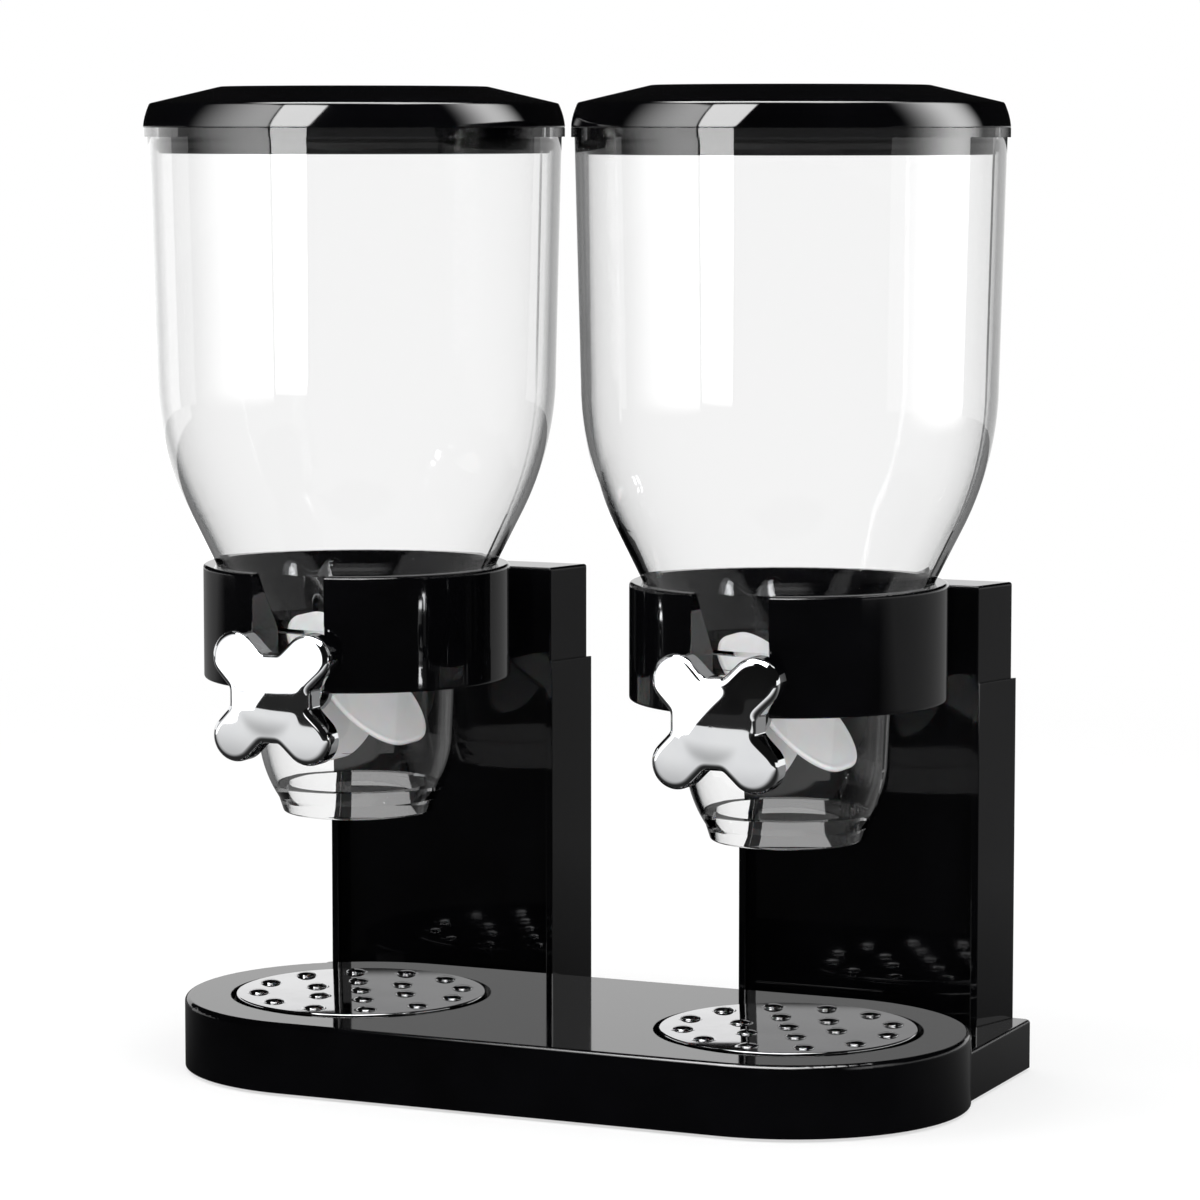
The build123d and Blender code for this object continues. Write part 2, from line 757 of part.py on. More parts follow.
def lid_seal() -> Part:
    """Soft ring in the plug's groove, just short of the hopper's wall."""
    foot = hopper_top_z - plug_depth + seal_above_plug_foot
    inner = plug_radius() - seal_groove_depth
    outer = hopper_top_radius - hopper_wall - seal_gap
    top = foot + seal_height
    face = polygon(
        (inner, foot),
        (outer - seal_edge_break, foot),
        (outer, foot + seal_edge_break),
        (outer, top - seal_edge_break),
        (outer - seal_edge_break, top),
        (inner, top),
    )
    return turned(face)


def save(name: str, shape) -> None:
    """Move a piece, or a group of pieces, to the shared frame and write it out."""
    pieces = shape if isinstance(shape, list) else [shape]
    placed = [Pos(0, -footprint_centre_y, 0) * piece for piece in pieces]
    export_step(placed[0] if len(placed) == 1 else Compound(children=placed), f"parts/{name}.step")


def main() -> None:
    """Build every piece and write one file for each."""
    os.makedirs("parts", exist_ok=True)
    save("base_shell", base_shell())
    save("base_plate", base_plate())
    save("rubber_feet", rubber_feet())
    save("base_screws", base_screws())
    unit_pieces = {
        "column": column(),
        "column_panel": column_panel(),
        "column_screws": column_screws(),
        "collar_bracket": bracket(),
        "bracket_screws": bracket_screws(),
        "tray_dish": dish(),
        "hopper": hopper(),
        "chute": chute(),
        "front_bush": front_bush(),
        "rear_bush": rear_bush(),
        "drive_shaft": drive_shaft(),
        "paddle_wheel": paddle_wheel(),
        "knob": knob(),
        "lid_cover": lid_cover(),
        "lid_plug": lid_plug(),
        "lid_seal": lid_seal(),
    }
    for side, sign in side_of.items():
        move = Pos(sign * unit_spacing / 2, 0, 0)
        for name, shape in unit_pieces.items():
            moved = [move * piece for piece in shape] if isinstance(shape, list) else move * shape
            save(f"{side}_{name}", moved)


main()
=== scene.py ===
"""Studio scene of a double dry-food dispenser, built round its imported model.

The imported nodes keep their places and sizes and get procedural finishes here. The paddle wheels, knobs, lids,
serving dishes, screws and feet are made again as finer meshes of the same size. Lengths are metres, and sizes
given in millimetres carry the factor MM.
"""

from __future__ import annotations

import json
import logging
import math
from dataclasses import dataclass, field
from enum import Enum
from typing import Iterable, Sequence

import bmesh
import bpy
from mathutils import Matrix, Vector

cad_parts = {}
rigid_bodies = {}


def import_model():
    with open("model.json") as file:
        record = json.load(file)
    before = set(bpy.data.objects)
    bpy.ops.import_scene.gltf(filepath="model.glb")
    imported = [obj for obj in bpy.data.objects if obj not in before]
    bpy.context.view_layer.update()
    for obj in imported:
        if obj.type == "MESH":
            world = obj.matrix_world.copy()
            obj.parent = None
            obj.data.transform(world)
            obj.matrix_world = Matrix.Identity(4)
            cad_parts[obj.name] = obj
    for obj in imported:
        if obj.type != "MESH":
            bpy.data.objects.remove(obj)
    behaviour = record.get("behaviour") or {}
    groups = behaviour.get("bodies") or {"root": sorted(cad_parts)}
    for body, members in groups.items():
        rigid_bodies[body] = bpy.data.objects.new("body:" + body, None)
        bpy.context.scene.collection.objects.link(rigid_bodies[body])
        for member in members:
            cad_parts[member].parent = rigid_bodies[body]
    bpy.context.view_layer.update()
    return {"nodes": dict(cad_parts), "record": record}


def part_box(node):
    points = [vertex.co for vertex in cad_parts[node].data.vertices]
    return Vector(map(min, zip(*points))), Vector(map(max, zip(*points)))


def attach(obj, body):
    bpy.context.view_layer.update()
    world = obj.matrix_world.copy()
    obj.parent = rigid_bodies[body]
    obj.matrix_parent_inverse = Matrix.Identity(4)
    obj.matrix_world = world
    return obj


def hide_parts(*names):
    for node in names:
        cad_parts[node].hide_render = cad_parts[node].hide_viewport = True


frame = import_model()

LOG = logging.getLogger("dispenser")
MM = 0.001
MERGE_DISTANCE = 1e-7
WELD_DISTANCE = 1e-6
WHITE = (1.0, 1.0, 1.0, 1.0)

Span = tuple[float, float]
Point = tuple[float, float, float]
Colour = tuple[float, float, float]
Profile = list[tuple[float, float]]
Work = bmesh.types.BMesh
Thing = bpy.types.Object
Node = bpy.types.Node
Socket = bpy.types.NodeSocket


class Side(Enum):
    """One of the two dispensing units, with the place of its upright axis along X."""

    LEFT = -88 * MM
    RIGHT = 88 * MM

    def node(self, name: str) -> str:
        """Full name of one of this side's nodes or bodies."""
        return f"{self.name.lower()}_{name}"

    def point(self, depth: float, height: float) -> Vector:
        """Point in the unit's middle plane at a depth along Y and a height."""
        return Vector((self.value, depth, height))


class NodeSheet:
    """Node tree with short calls to add and join nodes."""

    def __init__(self, tree: bpy.types.NodeTree) -> None:
        """Empty the tree and hold on to it."""
        self.tree = tree
        tree.nodes.clear()

    def put(self, value: object, target: Socket) -> None:
        """Join another node's output to a socket, or set the socket to a plain value.

        Args:
            value: The output or the plain value.
            target: The socket.
        """
        if isinstance(value, Socket):
            self.tree.links.new(value, target)
        else:
            target.default_value = value

    def add(self, kind: str, **settings: object) -> Node:
        """Add a node, set its properties and fill its sockets.

        Args:
            kind: Blender's name for the node type.
            **settings: Sockets by their name with spaces written as underscores, or node properties by name.

        Returns:
            The new node.
        """
        node = self.tree.nodes.new(kind)
        properties = [key for key in settings if hasattr(node, key)]
        for key in properties:
            setattr(node, key, settings[key])
        for key in settings:
            if key not in properties:
                self.put(settings[key], node.inputs[key.replace("_", " ")])
        return node

    def math(self, operation: str, *values: Socket | float) -> Socket:
        """Work out one number from others.

        Args:
            operation: Name of the sum, such as MULTIPLY.
            *values: Sockets or plain numbers to work on.

        Returns:
            The socket of the result.
        """
        node = self.add("ShaderNodeMath", operation=operation)
        for value, slot in zip(values, node.inputs):
            self.put(value, slot)
        return node.outputs["Value"]

    def spread(self, value: Socket, low: float, high: float, ends: Span, curve: str = "LINEAR") -> Socket:
        """Carry part of a value's range onto a wanted range, held at its ends.

        Args:
            value: Socket to read.
            low: Value that becomes the first end.
            high: Value that becomes the second end.
            ends: The wanted range.
            curve: Blender's name for the way between the ends.

        Returns:
            The socket of the result.
        """
        sizes = {"From_Min": low, "From_Max": high, "To_Min": ends[0], "To_Max": ends[1]}
        return self.add("ShaderNodeMapRange", interpolation_type=curve, Value=value, **sizes).outputs["Result"]

    def choose(self, share: Socket, first: Socket, second: Socket) -> Socket:
        """Mix two shaders.

        Args:
            share: Socket of the second shader's share.
            first: Shader at a share of 0.
            second: Shader at a share of 1.

        Returns:
            The mixed shader's socket.
        """
        mix = self.add("ShaderNodeMixShader")
        for value, slot in zip((share, first, second), mix.inputs):
            self.put(value, slot)
        return mix.outputs["Shader"]

    def mirrored(self) -> tuple[Socket, Socket]:
        """Tell the rays that come by way of a mirror image from those seen directly or through clear walls.

        Returns:
            A socket that is 1 for mirrored rays, and one that is 1 for rays that last passed a clear wall.
        """
        path = self.add("ShaderNodeLightPath").outputs
        never = self.math("LESS_THAN", path["Glossy Depth"], 0.5)
        direct = self.math("MULTIPLY", path["Is Transmission Ray"], never)
        return self.math("SUBTRACT", path["Is Glossy Ray"], direct), path["Is Transmission Ray"]


class Shader(NodeSheet):
    """Node tree of one material, in whose noise each finer octave keeps a share of the strength."""

    finer_share: float = 0.55

    def __init__(self, name: str) -> None:
        """Start an empty material.

        Args:
            name: Name of the material.
        """
        self.material = bpy.data.materials.new(name)
        self.material.use_nodes = True
        super().__init__(self.material.node_tree)

    def place(self, stretch: Point = (1.0, 1.0, 1.0)) -> Socket:
        """Object coordinates, stretched by a factor along each axis."""
        spot = self.add("ShaderNodeTexCoord").outputs["Object"]
        return self.add("ShaderNodeMapping", Scale=stretch, Vector=spot).outputs["Vector"]

    def noise(self, scale: float, detail: float = 2.0, stretch: Point = (1.0, 1.0, 1.0)) -> Socket:
        """Soft noise over the surface.

        Args:
            scale: Number of blotches along a metre.
            detail: Number of finer octaves.
            stretch: Factor along each axis.

        Returns:
            The socket of the noise's value, from 0 to 1.
        """
        settings = {"Scale": scale, "Detail": detail, "Roughness": self.finer_share}
        return self.add("ShaderNodeTexNoise", Vector=self.place(stretch), **settings).outputs["Fac"]

    def bump(self, height: Socket, depth: float, strength: float, under: Socket | None = None) -> Socket:
        """Turn a height into a normal.

        Args:
            height: Socket of the height, from 0 to 1.
            depth: Height of the relief in metres.
            strength: Share of the effect.
            under: Normal that the relief lies on, if not the surface's own.

        Returns:
            The normal's socket.
        """
        base = {} if under is None else {"Normal": under}
        return self.add("ShaderNodeBump", Distance=depth, Strength=strength, Height=height, **base).outputs["Normal"]

    def colours(self, value: Socket, *stops: tuple[float, Colour]) -> Socket:
        """Ramp of colours along a value.

        Args:
            value: Socket to read.
            *stops: Places on the ramp with their colours.

        Returns:
            The colour's socket.
        """
        ramp = self.add("ShaderNodeValToRGB", Fac=value)
        elements = ramp.color_ramp.elements
        while len(elements) < len(stops):
            elements.new(0.5)
        for element, (place, colour) in zip(elements, stops):
            element.position = place
            element.color = (*colour, 1.0)
        return ramp.outputs["Color"]

    def finish(self, surface: Socket) -> bpy.types.Material:
        """Join the surface to an output and return the material."""
        self.add("ShaderNodeOutputMaterial", Surface=surface)
        return self.material


@dataclass(frozen=True)
class GlossPlastic:
    """Polished moulded plastic with a faint moulding ripple, a few smudges and softly broken edges."""

    name: str
    dark: Colour = (0.0008, 0.0008, 0.001)
    light: Colour = (0.0018, 0.0018, 0.0023)
    rough: Span = (0.03, 0.07)
    index: float = 1.5
    ripple_depth: float = 0.004 * MM
    ripple_scale: float = 220.0
    smudge_scale: float = 28.0
    smudge_detail: float = 4.0
    tone_ends: Span = (0.3, 0.7)
    rough_ends: Span = (0.35, 0.7)
    ripple_share: float = 0.5
    edge_round: float = 0.6 * MM
    edge_samples: int = 4

    def build(self) -> bpy.types.Material:
        """Make the material.

        Returns:
            The material.
        """
        sheet = Shader(self.name)
        smudge = sheet.noise(self.smudge_scale, self.smudge_detail)
        edge = sheet.add("ShaderNodeBevel", samples=self.edge_samples, Radius=self.edge_round).outputs["Normal"]
        ripple = sheet.noise(self.ripple_scale, 1.0)
        shader = sheet.add(
            "ShaderNodeBsdfPrincipled",
            IOR=self.index,
            Base_Color=sheet.colours(smudge, *zip(self.tone_ends, (self.dark, self.light))),
            Roughness=sheet.spread(smudge, *self.rough_ends, self.rough),
            Normal=sheet.bump(ripple, self.ripple_depth, self.ripple_share, edge),
        )
        return sheet.finish(shader.outputs["BSDF"])


@dataclass(frozen=True)
class ClearPlastic:
    """Clear moulded plastic, darker by painted shade where the wall is seen edge on, that lets lamps through."""

    name: str
    clear: Colour = (1.0, 1.0, 1.0)
    # Painted shade: the colour the wall takes where it is seen edge on, in place of the dark rims that refraction
    # gives.
    edge: Colour = (0.1, 0.105, 0.11)
    edge_ends: Span = (0.68, 0.86)
    shadow: Colour = (0.96, 0.965, 0.965)
    index: float = 1.41
    haze: Span = (0.0, 0.015)
    haze_ends: Span = (0.4, 0.75)
    haze_scale: float = 60.0
    haze_detail: float = 3.0
    flow_scale: float = 30.0
    flow_stretch: Point = (1.0, 1.0, 0.35)
    flow_depth: float = 0.006 * MM
    flow_share: float = 0.5

    def build(self) -> bpy.types.Material:
        """Make the material.

        Returns:
            The material.
        """
        sheet = Shader(self.name)
        turned_away = sheet.add("ShaderNodeLayerWeight", Blend=0.5).outputs["Facing"]
        # Painted shade: the colour turns from clear to the edge colour as the wall is seen more edge on.
        tint_with_painted_edge_shade = sheet.colours(turned_away, (0.0, self.clear), *zip(self.edge_ends, (self.clear, self.edge)))
        haze = sheet.noise(self.haze_scale, self.haze_detail)
        flow = sheet.noise(self.flow_scale, 1.0, self.flow_stretch)
        shader = sheet.add(
            "ShaderNodeBsdfPrincipled",
            IOR=self.index,
            Transmission_Weight=1.0,
            Base_Color=tint_with_painted_edge_shade,
            Roughness=sheet.spread(haze, *self.haze_ends, self.haze),
            Normal=sheet.bump(flow, self.flow_depth, self.flow_share),
        )
        through = sheet.add("ShaderNodeBsdfTransparent", Color=(*self.shadow, 1.0))
        shadow = sheet.add("ShaderNodeLightPath").outputs["Is Shadow Ray"]
        return sheet.finish(sheet.choose(shadow, shader.outputs["BSDF"], through.outputs["BSDF"]))


@dataclass(frozen=True)
class PolishedMetal:
    """Plated or turned metal with fine polishing or turning marks."""

    name: str
    colour: Colour
    tarnish: Colour
    rough: Span = (0.02, 0.05)
    marks: Point = (1.0, 1.0, 1.0)
    mark_scale: float = 300.0
    mark_depth: float = 0.001 * MM
    mark_share: float = 0.4
    patch_scale: float = 45.0
    patch_detail: float = 3.0
    tone_ends: Span = (0.35, 0.6)
    rough_ends: Span = (0.3, 0.7)

    def build(self) -> bpy.types.Material:
        """Make the material.

        Returns:
            The material.
        """
        sheet = Shader(self.name)
        patch = sheet.noise(self.patch_scale, self.patch_detail)
        shader = sheet.add(
            "ShaderNodeBsdfPrincipled",
            Metallic=1.0,
            Base_Color=sheet.colours(patch, *zip(self.tone_ends, (self.tarnish, self.colour))),
            Roughness=sheet.spread(patch, *self.rough_ends, self.rough),
            Normal=sheet.bump(sheet.noise(self.mark_scale, 2.0, self.marks), self.mark_depth, self.mark_share),
        )
        return sheet.finish(shader.outputs["BSDF"])


@dataclass(frozen=True)
class SoftPolymer:
    """Matt or satin rubber, silicone or plastic with a fine moulded grain."""

    name: str
    colour: Colour
    shade: Colour
    rough: Span = (0.45, 0.6)
    grain_scale: float = 1400.0
    grain_depth: float = 0.02 * MM
    subsurface: float = 0.0
    subsurface_depth: float = 2.0 * MM
    index: float = 1.43
    grain_share: float = 0.6
    patch_scale: float = 70.0
    patch_detail: float = 3.0
    tone_ends: Span = (0.3, 0.65)
    rough_ends: Span = (0.3, 0.7)

    def build(self) -> bpy.types.Material:
        """Make the material.

        Returns:
            The material.
        """
        sheet = Shader(self.name)
        patch = sheet.noise(self.patch_scale, self.patch_detail)
        shader = sheet.add(
            "ShaderNodeBsdfPrincipled",
            IOR=self.index,
            Subsurface_Weight=self.subsurface,
            Subsurface_Scale=self.subsurface_depth,
            Base_Color=sheet.colours(patch, *zip(self.tone_ends, (self.shade, self.colour))),
            Roughness=sheet.spread(patch, *self.rough_ends, self.rough),
            Normal=sheet.bump(sheet.noise(self.grain_scale), self.grain_depth, self.grain_share),
        )
        return sheet.finish(shader.outputs["BSDF"])


class Finish(Enum):
    """Every finish on the object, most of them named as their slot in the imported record."""

    GLOSS_BLACK = "gloss_black"
    MATTE_BLACK = "matte_black"
    CLEAR = "clear_plastic"
    CHROME = "chrome"
    STEEL_SHAFT = "steel_shaft"
    STEEL_SCREW = "steel_screw"
    SILICONE = "pale_silicone"
    BUSH = "pale_bush"
    BLACK_RUBBER = "black_rubber"
    DARK_CHROME = "dark_chrome"
    SMOOTH_RUBBER = "smooth_rubber"


RECIPES = {
    Finish.GLOSS_BLACK: GlossPlastic("gloss_black_finish"),
    Finish.DARK_CHROME: PolishedMetal(
        "dark_chrome_finish", (0.62, 0.62, 0.63), (0.56, 0.56, 0.57), (0.03, 0.06), mark_scale=500.0
    ),
    Finish.MATTE_BLACK: SoftPolymer("matte_black_finish", (0.016, 0.016, 0.018), (0.011, 0.011, 0.012), (0.5, 0.65)),
    Finish.CLEAR: ClearPlastic("clear_plastic_finish"),
    Finish.CHROME: PolishedMetal("chrome_finish", (0.88, 0.89, 0.9), (0.84, 0.85, 0.87)),
    Finish.STEEL_SHAFT: PolishedMetal(
        "turned_steel_finish", (0.6, 0.61, 0.63), (0.5, 0.51, 0.53), (0.22, 0.34), (0.1, 12.0, 0.1), 300.0, 0.01 * MM
    ),
    Finish.STEEL_SCREW: PolishedMetal(
        "screw_steel_finish",
        (0.56, 0.57, 0.59),
        (0.42, 0.43, 0.45),
        (0.25, 0.4),
        mark_scale=900.0,
        mark_depth=0.01 * MM,
    ),
    Finish.SILICONE: SoftPolymer(
        "pale_silicone_finish", (0.74, 0.745, 0.75), (0.7, 0.705, 0.71), (0.34, 0.46), 1100.0, 0.01 * MM, 0.25
    ),
    Finish.BUSH: SoftPolymer("pale_bush_finish", (0.7, 0.71, 0.72), (0.64, 0.65, 0.66), (0.3, 0.42)),
    Finish.SMOOTH_RUBBER: SoftPolymer(
        "smooth_rubber_finish", (0.004, 0.004, 0.004), (0.003, 0.003, 0.003), (0.08, 0.14), 900.0, 0.001 * MM
    ),
    Finish.BLACK_RUBBER: SoftPolymer(
        "black_rubber_finish", (0.014, 0.014, 0.014), (0.009, 0.009, 0.009), (0.6, 0.75)
    ),
}


class Paintbox:
    """Builds each finish once and puts it on pieces and nodes."""

    def __init__(self) -> None:
        """Start with no material made."""
        self.made: dict[Finish, bpy.types.Material] = {}

    def material(self, finish: Finish) -> bpy.types.Material:
        """Give a finish's material, made on first use.

        Args:
            finish: The finish.

        Returns:
            Its material.
        """
        if finish not in self.made:
            self.made[finish] = RECIPES[finish].build()
        return self.made[finish]

    def dress(self, thing: Thing, finish: Finish) -> None:
        """Give every material slot of an object one finish.

        Args:
            thing: Object to dress.
            finish: The finish it takes.
        """
        if not thing.data.materials:
            thing.data.materials.append(None)
        for slot in thing.material_slots:
            slot.material = self.material(finish)
        LOG.info("%s: %s", thing.name, finish.value)

    def dress_nodes(self) -> None:
        """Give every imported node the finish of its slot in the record."""
        for part in frame["record"]["subparts"]:
            self.dress(frame["nodes"][part["node"]], Finish(part["material_slot"]))


def show(name: str, data: bpy.types.ID) -> Thing:
    """Put a mesh, a lamp or a camera into the scene.

    Args:
        name: Name of its object.
        data: The mesh, lamp or camera.

    Returns:
        The object.
    """
    made = bpy.data.objects.new(name, data)
    bpy.context.scene.collection.objects.link(made)
    return made


def quarter(steps: int) -> list[tuple[float, float]]:
    """Cosine and sine at even steps of a quarter turn, both its ends included.

    Args:
        steps: Number of steps.

    Returns:
        The pairs.
    """
    turns = [math.pi / 2 * step / steps for step in range(steps + 1)]
    return [(math.cos(turn), math.sin(turn)) for turn in turns]


class Forms:
    """Mesh shapes that several pieces share."""

    @staticmethod
    def lathe(profile: Profile, centre: Vector, steps: int) -> Work:
        """Turn a closed outline about an upright axis.

        Args:
            profile: Corners of the outline as (radius, height), in order.
            centre: Foot of the axis.
            steps: Number of steps round the axis.

        Returns:
            The closed mesh.
        """
        shape = bmesh.new()
        for index in range(steps):
            turn = 2.0 * math.pi * index / steps
            for radius, height in profile:
                shape.verts.new(centre + Vector((radius * math.cos(turn), radius * math.sin(turn), height)))
        shape.verts.ensure_lookup_table()
        count = len(profile)
        for index in range(steps):
            here, there = index * count, (index + 1) % steps * count
            for low in range(count):
                high = (low + 1) % count
                corners = (here + low, there + low, there + high, here + high)
                shape.faces.new([shape.verts[corner] for corner in corners])
        bmesh.ops.remove_doubles(shape, verts=shape.verts, dist=MERGE_DISTANCE)
        bmesh.ops.dissolve_degenerate(shape, dist=MERGE_DISTANCE, edges=shape.edges)
        bmesh.ops.recalc_face_normals(shape, faces=shape.faces)
        return shape

    @staticmethod
    def rounded(corners: Profile, radii: Sequence[float], steps: int) -> Profile:
        """Round the corners of a closed outline.

        Args:
            corners: The outline's corners.
            radii: Radius at each corner, 0 for a sharp one.
            steps: Number of steps in each round.

        Returns:
            The new outline.
        """
        made: Profile = []
        for index, radius in enumerate(radii):
            here = Vector(corners[index])
            if radius <= 0.0:
                made.append(tuple(here))
                continue
            back = (Vector(corners[index - 1]) - here).normalized()
            ahead = (Vector(corners[(index + 1) % len(corners)]) - here).normalized()
            half = back.angle(ahead) / 2.0
            middle = here + (back + ahead).normalized() * radius / math.sin(half)
            start = here + back * radius / math.tan(half) - middle
            end = here + ahead * radius / math.tan(half) - middle
            for step in range(steps + 1):
                made.append(tuple(middle + start.lerp(end, step / steps).normalized() * radius))
        return made

    @staticmethod
    def loft(loops: Sequence[Sequence[Vector]]) -> Work:
        """Skin a stack of closed loops and cap both ends.

        Args:
            loops: Loops of equal length, in order.

        Returns:
            The closed mesh.
        """
        shape = bmesh.new()
        rows = [[shape.verts.new(point) for point in loop] for loop in loops]
        for lower, upper in zip(rows, rows[1:]):
            for index in range(len(lower)):
                after = (index + 1) % len(lower)
                shape.faces.new((lower[index], lower[after], upper[after], upper[index]))
        shape.faces.new(reversed(rows[0]))
        shape.faces.new(rows[-1])
        bmesh.ops.remove_doubles(shape, verts=shape.verts, dist=MERGE_DISTANCE)
        bmesh.ops.recalc_face_normals(shape, faces=shape.faces)
        return shape

    @staticmethod
    def thing(name: str, shape: Work) -> Thing:
        """Turn a worked mesh into an object of the scene.

        Args:
            name: Name of the object.
            shape: The worked mesh, which is freed.

        Returns:
            The object.
        """
        mesh = bpy.data.meshes.new(name)
        shape.to_mesh(mesh)
        shape.free()
        return show(name, mesh)

    @staticmethod
    def join(name: str, things: Iterable[Thing]) -> Thing:
        """Join several objects at the origin into one and remove them.

        Args:
            name: Name of the joined object.
            things: The objects.

        Returns:
            The joined object.
        """
        whole = bmesh.new()
        for part in things:
            whole.from_mesh(part.data)
            bpy.data.objects.remove(part)
        return Forms.thing(name, whole)

    @staticmethod
    def baked(thing: Thing) -> bpy.types.Mesh:
        """Plain mesh of an object as its modifiers leave it."""
        bpy.context.view_layer.update()
        return bpy.data.meshes.new_from_object(thing.evaluated_get(bpy.context.evaluated_depsgraph_get()))

    @staticmethod
    def smooth(thing: Thing, angle: float = 38.0) -> None:
        """Shade an object smooth, with edges sharper than an angle in degrees kept crisp."""
        thing.data.shade_smooth()
        thing.data.set_sharp_from_angle(angle=math.radians(angle))


class Copier:
    """Geometry Nodes that repeat one piece, in a ring or at given places."""

    def __init__(self) -> None:
        """Build both node trees."""
        self.ring_tree = self.build_ring()
        self.places_tree = self.build_places()

    @staticmethod
    def start(name: str, **inputs: str) -> tuple[NodeSheet, bpy.types.NodeOutputs]:
        """Start a tree with its named inputs.

        Args:
            name: Name of the tree.
            **inputs: Kind of each input after the geometry, by its name with spaces written as underscores.

        Returns:
            The sheet and the sockets of the inputs.
        """
        tree = bpy.data.node_groups.new(name, "GeometryNodeTree")
        tree.interface.new_socket("Geometry", in_out="INPUT", socket_type="NodeSocketGeometry")
        for label, kind in inputs.items():
            tree.interface.new_socket(label.replace("_", " "), in_out="INPUT", socket_type=f"NodeSocket{kind}")
        tree.interface.new_socket("Geometry", in_out="OUTPUT", socket_type="NodeSocketGeometry")
        sheet = NodeSheet(tree)
        return sheet, sheet.add("NodeGroupInput").outputs

    @staticmethod
    def end(sheet: NodeSheet, copies: Socket, finish: Socket) -> bpy.types.NodeTree:
        """End a tree with real meshes in one material.

        Args:
            sheet: The tree's sheet.
            copies: Socket of the instances.
            finish: Socket of the material.

        Returns:
            The tree.
        """
        real = sheet.add("GeometryNodeRealizeInstances", Geometry=copies).outputs["Geometry"]
        paint = sheet.add("GeometryNodeSetMaterial", Geometry=real, Material=finish)
        sheet.add("NodeGroupOutput", Geometry=paint.outputs["Geometry"])
        return sheet.tree

    def build_ring(self) -> bpy.types.NodeTree:
        """Build the tree that sets copies round an axis, then tilts and places the ring.

        Returns:
            The tree.
        """
        kinds = {"Copies": "Int", "Ring_Radius": "Float", "Start_Angle": "Float", "Tilt": "Vector", "Place": "Vector"}
        sheet, given = self.start("ring_of_copies", **kinds, Finish="Material")
        index = sheet.add("GeometryNodeInputIndex").outputs["Index"]
        step = sheet.math("DIVIDE", 2.0 * math.pi, given["Copies"])
        turn = sheet.math("MULTIPLY_ADD", index, step, given["Start Angle"])
        across = sheet.math("MULTIPLY", sheet.math("COSINE", turn), given["Ring Radius"])
        along = sheet.math("MULTIPLY", sheet.math("SINE", turn), given["Ring Radius"])
        spot = sheet.add("ShaderNodeCombineXYZ", X=across, Y=along).outputs["Vector"]
        swing = sheet.add("ShaderNodeCombineXYZ", Z=turn).outputs["Vector"]
        points = sheet.add("GeometryNodePoints", Count=given["Copies"], Position=spot).outputs[0]
        ring = sheet.add("GeometryNodeInstanceOnPoints", Points=points, Instance=given["Geometry"], Rotation=swing)
        placed = sheet.add(
            "GeometryNodeTransform",
            Geometry=ring.outputs["Instances"],
            Rotation=given["Tilt"],
            Translation=given["Place"],
        )
        return self.end(sheet, placed.outputs["Geometry"], given["Finish"])

    def build_places(self) -> bpy.types.NodeTree:
        """Build the tree that sets a piece on every vertex, each turned by its own seeded angle.

        Returns:
            The tree.
        """
        kinds = {"Piece": "Object", "Largest_Turn": "Float", "Turn_Axis": "Vector", "Seed": "Int"}
        sheet, given = self.start("copies_at_places", **kinds, Finish="Material")
        piece = sheet.add("GeometryNodeObjectInfo", Object=given["Piece"]).outputs["Geometry"]
        turn = sheet.add("FunctionNodeRandomValue", data_type="FLOAT", Seed=given["Seed"])
        _, largest = (socket for socket in turn.inputs if socket.type == "VALUE" and socket.enabled)
        sheet.put(given["Largest Turn"], largest)
        angle = next(socket for socket in turn.outputs if socket.enabled)
        swing = sheet.add("ShaderNodeVectorMath", operation="SCALE", Vector=given["Turn Axis"], Scale=angle)
        copies = sheet.add(
            "GeometryNodeInstanceOnPoints", Points=given["Geometry"], Instance=piece, Rotation=swing.outputs["Vector"]
        )
        return self.end(sheet, copies.outputs["Instances"], given["Finish"])

    @staticmethod
    def run(thing: Thing, tree: bpy.types.NodeTree, values: dict[str, object]) -> Thing:
        """Run a tree on an object and keep the result as a plain mesh.

        Args:
            thing: Object the tree works on, which is removed.
            tree: The tree.
            values: Value of each named input.

        Returns:
            The object that holds the result, under the same name.
        """
        modifier = thing.modifiers.new(tree.name, "NODES")
        modifier.node_group = tree
        for item in tree.interface.items_tree:
            if item.in_out == "INPUT" and item.name in values:
                modifier[item.identifier] = values[item.name]
        mesh, name = Forms.baked(thing), thing.name
        thing.modifiers.remove(modifier)
        bpy.data.objects.remove(thing)
        return show(name, mesh)


@dataclass
class Workshop:
    """Tools that every piece maker shares."""

    paint: Paintbox = field(default_factory=Paintbox)
    copier: Copier = field(default_factory=Copier)

    def deliver(self, thing: Thing, finish: Finish, body: str, *nodes: str) -> None:
        """Dress a piece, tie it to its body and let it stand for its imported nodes.

        Args:
            thing: The finished piece at the origin.
            finish: Its finish.
            body: Body it rides on.
            *nodes: Nodes that it stands for.
        """
        self.paint.dress(thing, finish)
        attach(thing, body)
        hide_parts(*nodes)
        LOG.info("%s: %d faces on %s", thing.name, len(thing.data.polygons), body)


